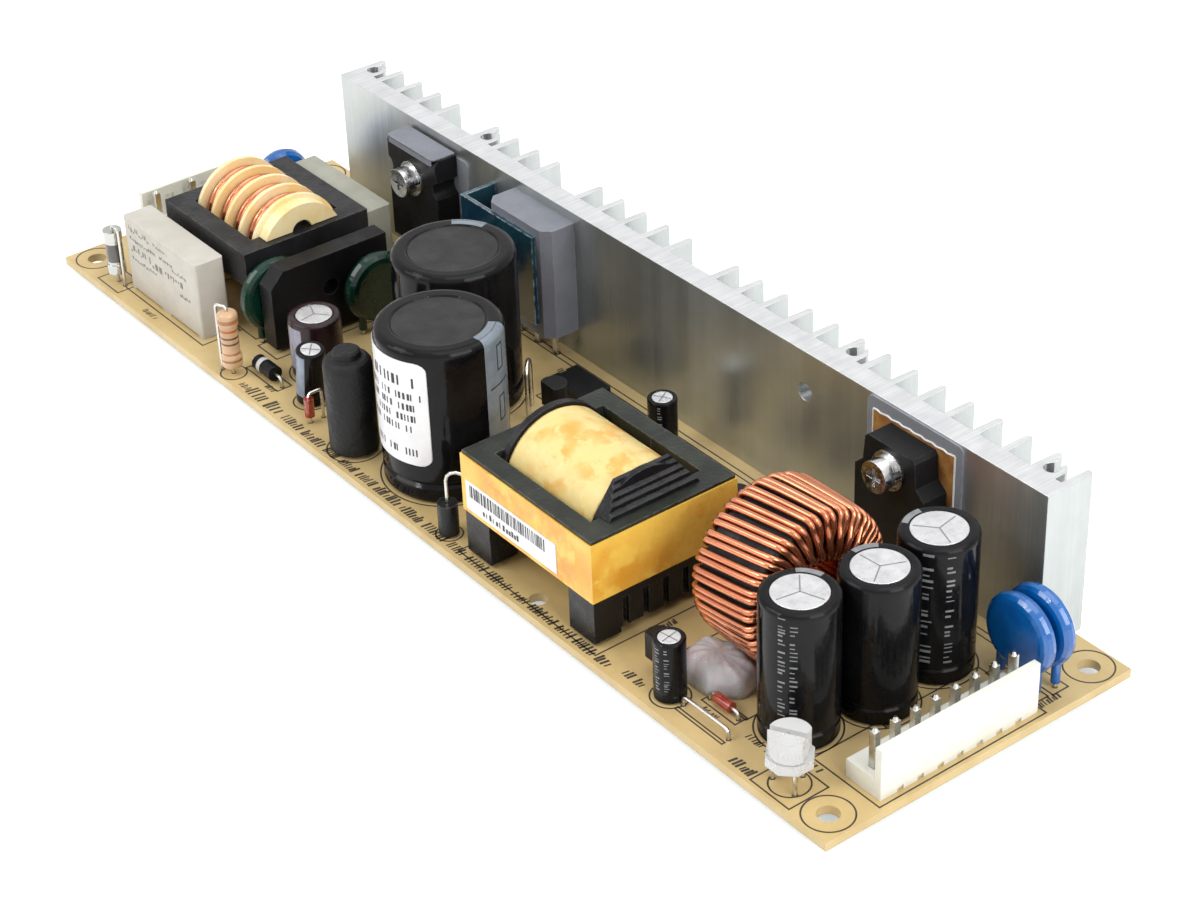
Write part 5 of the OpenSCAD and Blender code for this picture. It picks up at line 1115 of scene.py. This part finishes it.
def adhesiveMound(setup):
    low, high = (Vector(v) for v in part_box("adhesive_block"))
    wave = random.Random(setup["seed"])
    waves = [(wave.randint(2, 7), wave.uniform(0, 6.28), wave.uniform(0.3, 1.0))
             for i in range(setup["waves"])]
    centre = (low + high) / 2
    half = (high - low) / 2
    mesh = bmesh.new()
    rings = []
    for i in range(setup["rows"]):
        t = i / (setup["rows"] - 1)
        spread = math.cos(t * math.pi / 2) ** 0.5
        ring = []
        for k in range(setup["around"]):
            a = 2 * math.pi * k / setup["around"]
            swell = sum(m * math.sin(n * a + s) for n, s, m in waves) / setup["sum"]
            crease = sum(m * math.sin(n * 2 * a + s + setup["lean"] * t) for n, s, m in waves) / setup["sum"]
            r = spread * (1 - setup["ripple"] * (1 + swell) / 2)
            z = math.sin(t * math.pi / 2) ** 0.6 * (1 - setup["crease"] * (1 + crease) / 2 * spread)
            ring.append(mesh.verts.new((centre.x + half.x * r * math.cos(a),
                                        centre.y + half.y * r * math.sin(a),
                                        low.z + 2 * half.z * z * setup["fill"])))
        rings.append(ring)
    for a, b in zip(rings, rings[1:]):
        for k in range(setup["around"]):
            j = (k + 1) % setup["around"]
            mesh.faces.new((a[k], a[j], b[j], b[k]))
    mesh.faces.new(rings[0][::-1])
    mesh.faces.new(rings[-1])
    piece = pieceFrom("adhesiveMound", mesh, adhesiveMaterial, smooth=True)
    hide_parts("adhesive_block")


adhesiveMound(adhesiveSetup)
print("adhesive is poured")

# Outer wire layers of the line choke's sections; axis is its y and its height above the board
chokeSetup = {"axis": (25.1, 14.1), "start": 27.4, "section": 4.775, "sections": 4, "turns": 4, "steps": 32,
              "short": 20, "wire": 0.9, "radius": 7.6, "angle": -0.6, "clear": 0.05, "gap": 0.02}


def chokeRoutes(setup):
    y, z = setup["axis"]
    steps, radius = setup["steps"], setup["radius"]
    routes = []
    for i in range(setup["sections"]):
        x0 = setup["start"] + i * setup["section"] + setup["wire"] / 2 + setup["clear"]
        route = []
        for k in range(setup["turns"] * steps - setup["short"]):
            a = 2 * math.pi * k / steps + setup["angle"]
            x = x0 + k / steps * (setup["wire"] + setup["gap"])
            route.append(board(x, y + radius * math.cos(a), z + radius * math.sin(a)))
        routes.append(route)
    return routes


# A standing wire loop behind the front bulk capacitor
hairpinSetup = {"feet": ((105.8, 33.9), (102.4, 37.2)), "height": 10.4, "sunk": -0.4, "wire": 0.8}


def hairpinRoute(setup):
    (x0, y0), (x1, y1) = setup["feet"]
    middle, half = board((x0 + x1) / 2, (y0 + y1) / 2), (board(x1, y1) - board(x0, y0)) / 2
    rise = setup["height"] * mm - half.length
    arch = [middle - half * math.cos(a) + Vector((0, 0, rise + half.length * math.sin(a)))
            for a in [math.pi * k / 12 for k in range(13)]]
    return [board(x0, y0, setup["sunk"])] + arch + [board(x1, y1, setup["sunk"])]


wirePiece("hairpinLead", [hairpinRoute(hairpinSetup)], hairpinSetup["wire"] / 2 * mm, tin)
wirePiece("lineChokeWire", chokeRoutes(chokeSetup), chokeSetup["wire"] / 2 * mm, copper)
print("line choke is wound")

# A floor and a world that look white to the camera and in reflections, and light the part softly
floorSetup = {"half": 3.0, "below": 0.02 * mm, "colour": (0.92, 0.92, 0.92), "glow": 0.5}
floorMesh = bpy.data.meshes.new("floor")
h = floorSetup["half"]
floorZ = cadBounds[0][2] - floorSetup["below"]
floorMesh.from_pydata([(x, y, floorZ) for x, y in ((-h, -h), (h, -h), (h, h), (-h, h))], [], [(0, 1, 2, 3)])
floor = bpy.data.objects.new("floor", floorMesh)
scene.collection.objects.link(floor)
floorMaterial, tree, shader = newMaterial("paleFloor")
shader.inputs["Base Color"].default_value = (*floorSetup["colour"], 1)
shader.inputs["Roughness"].default_value = 0.9
shader.inputs["Emission Color"].default_value = (1, 1, 1, 1)
path = put(tree, "ShaderNodeLightPath")
seen = maths(tree, "ADD", path.outputs["Is Camera Ray"], path.outputs["Is Glossy Ray"], clamp=True)
tree.links.new(maths(tree, "MULTIPLY", seen, floorSetup["glow"]), shader.inputs["Emission Strength"])
floorMesh.materials.append(floorMaterial)

worldSetup = {"seen": 0.58, "light": 0.42}
world = bpy.data.worlds.new("studio")
scene.world = world
world.use_nodes = True
tree = world.node_tree
tree.nodes.clear()
path = put(tree, "ShaderNodeLightPath")
seen = maths(tree, "ADD", path.outputs["Is Camera Ray"], path.outputs["Is Glossy Ray"])
seen = maths(tree, "ADD", seen, path.outputs["Is Transmission Ray"], clamp=True)
strength = maths(tree, "ADD", maths(tree, "MULTIPLY", seen, worldSetup["seen"]), worldSetup["light"])
sky = put(tree, "ShaderNodeBackground", Color=(1, 1, 1, 1), Strength=strength)
put(tree, "ShaderNodeOutputWorld", Surface=sky.outputs[0])
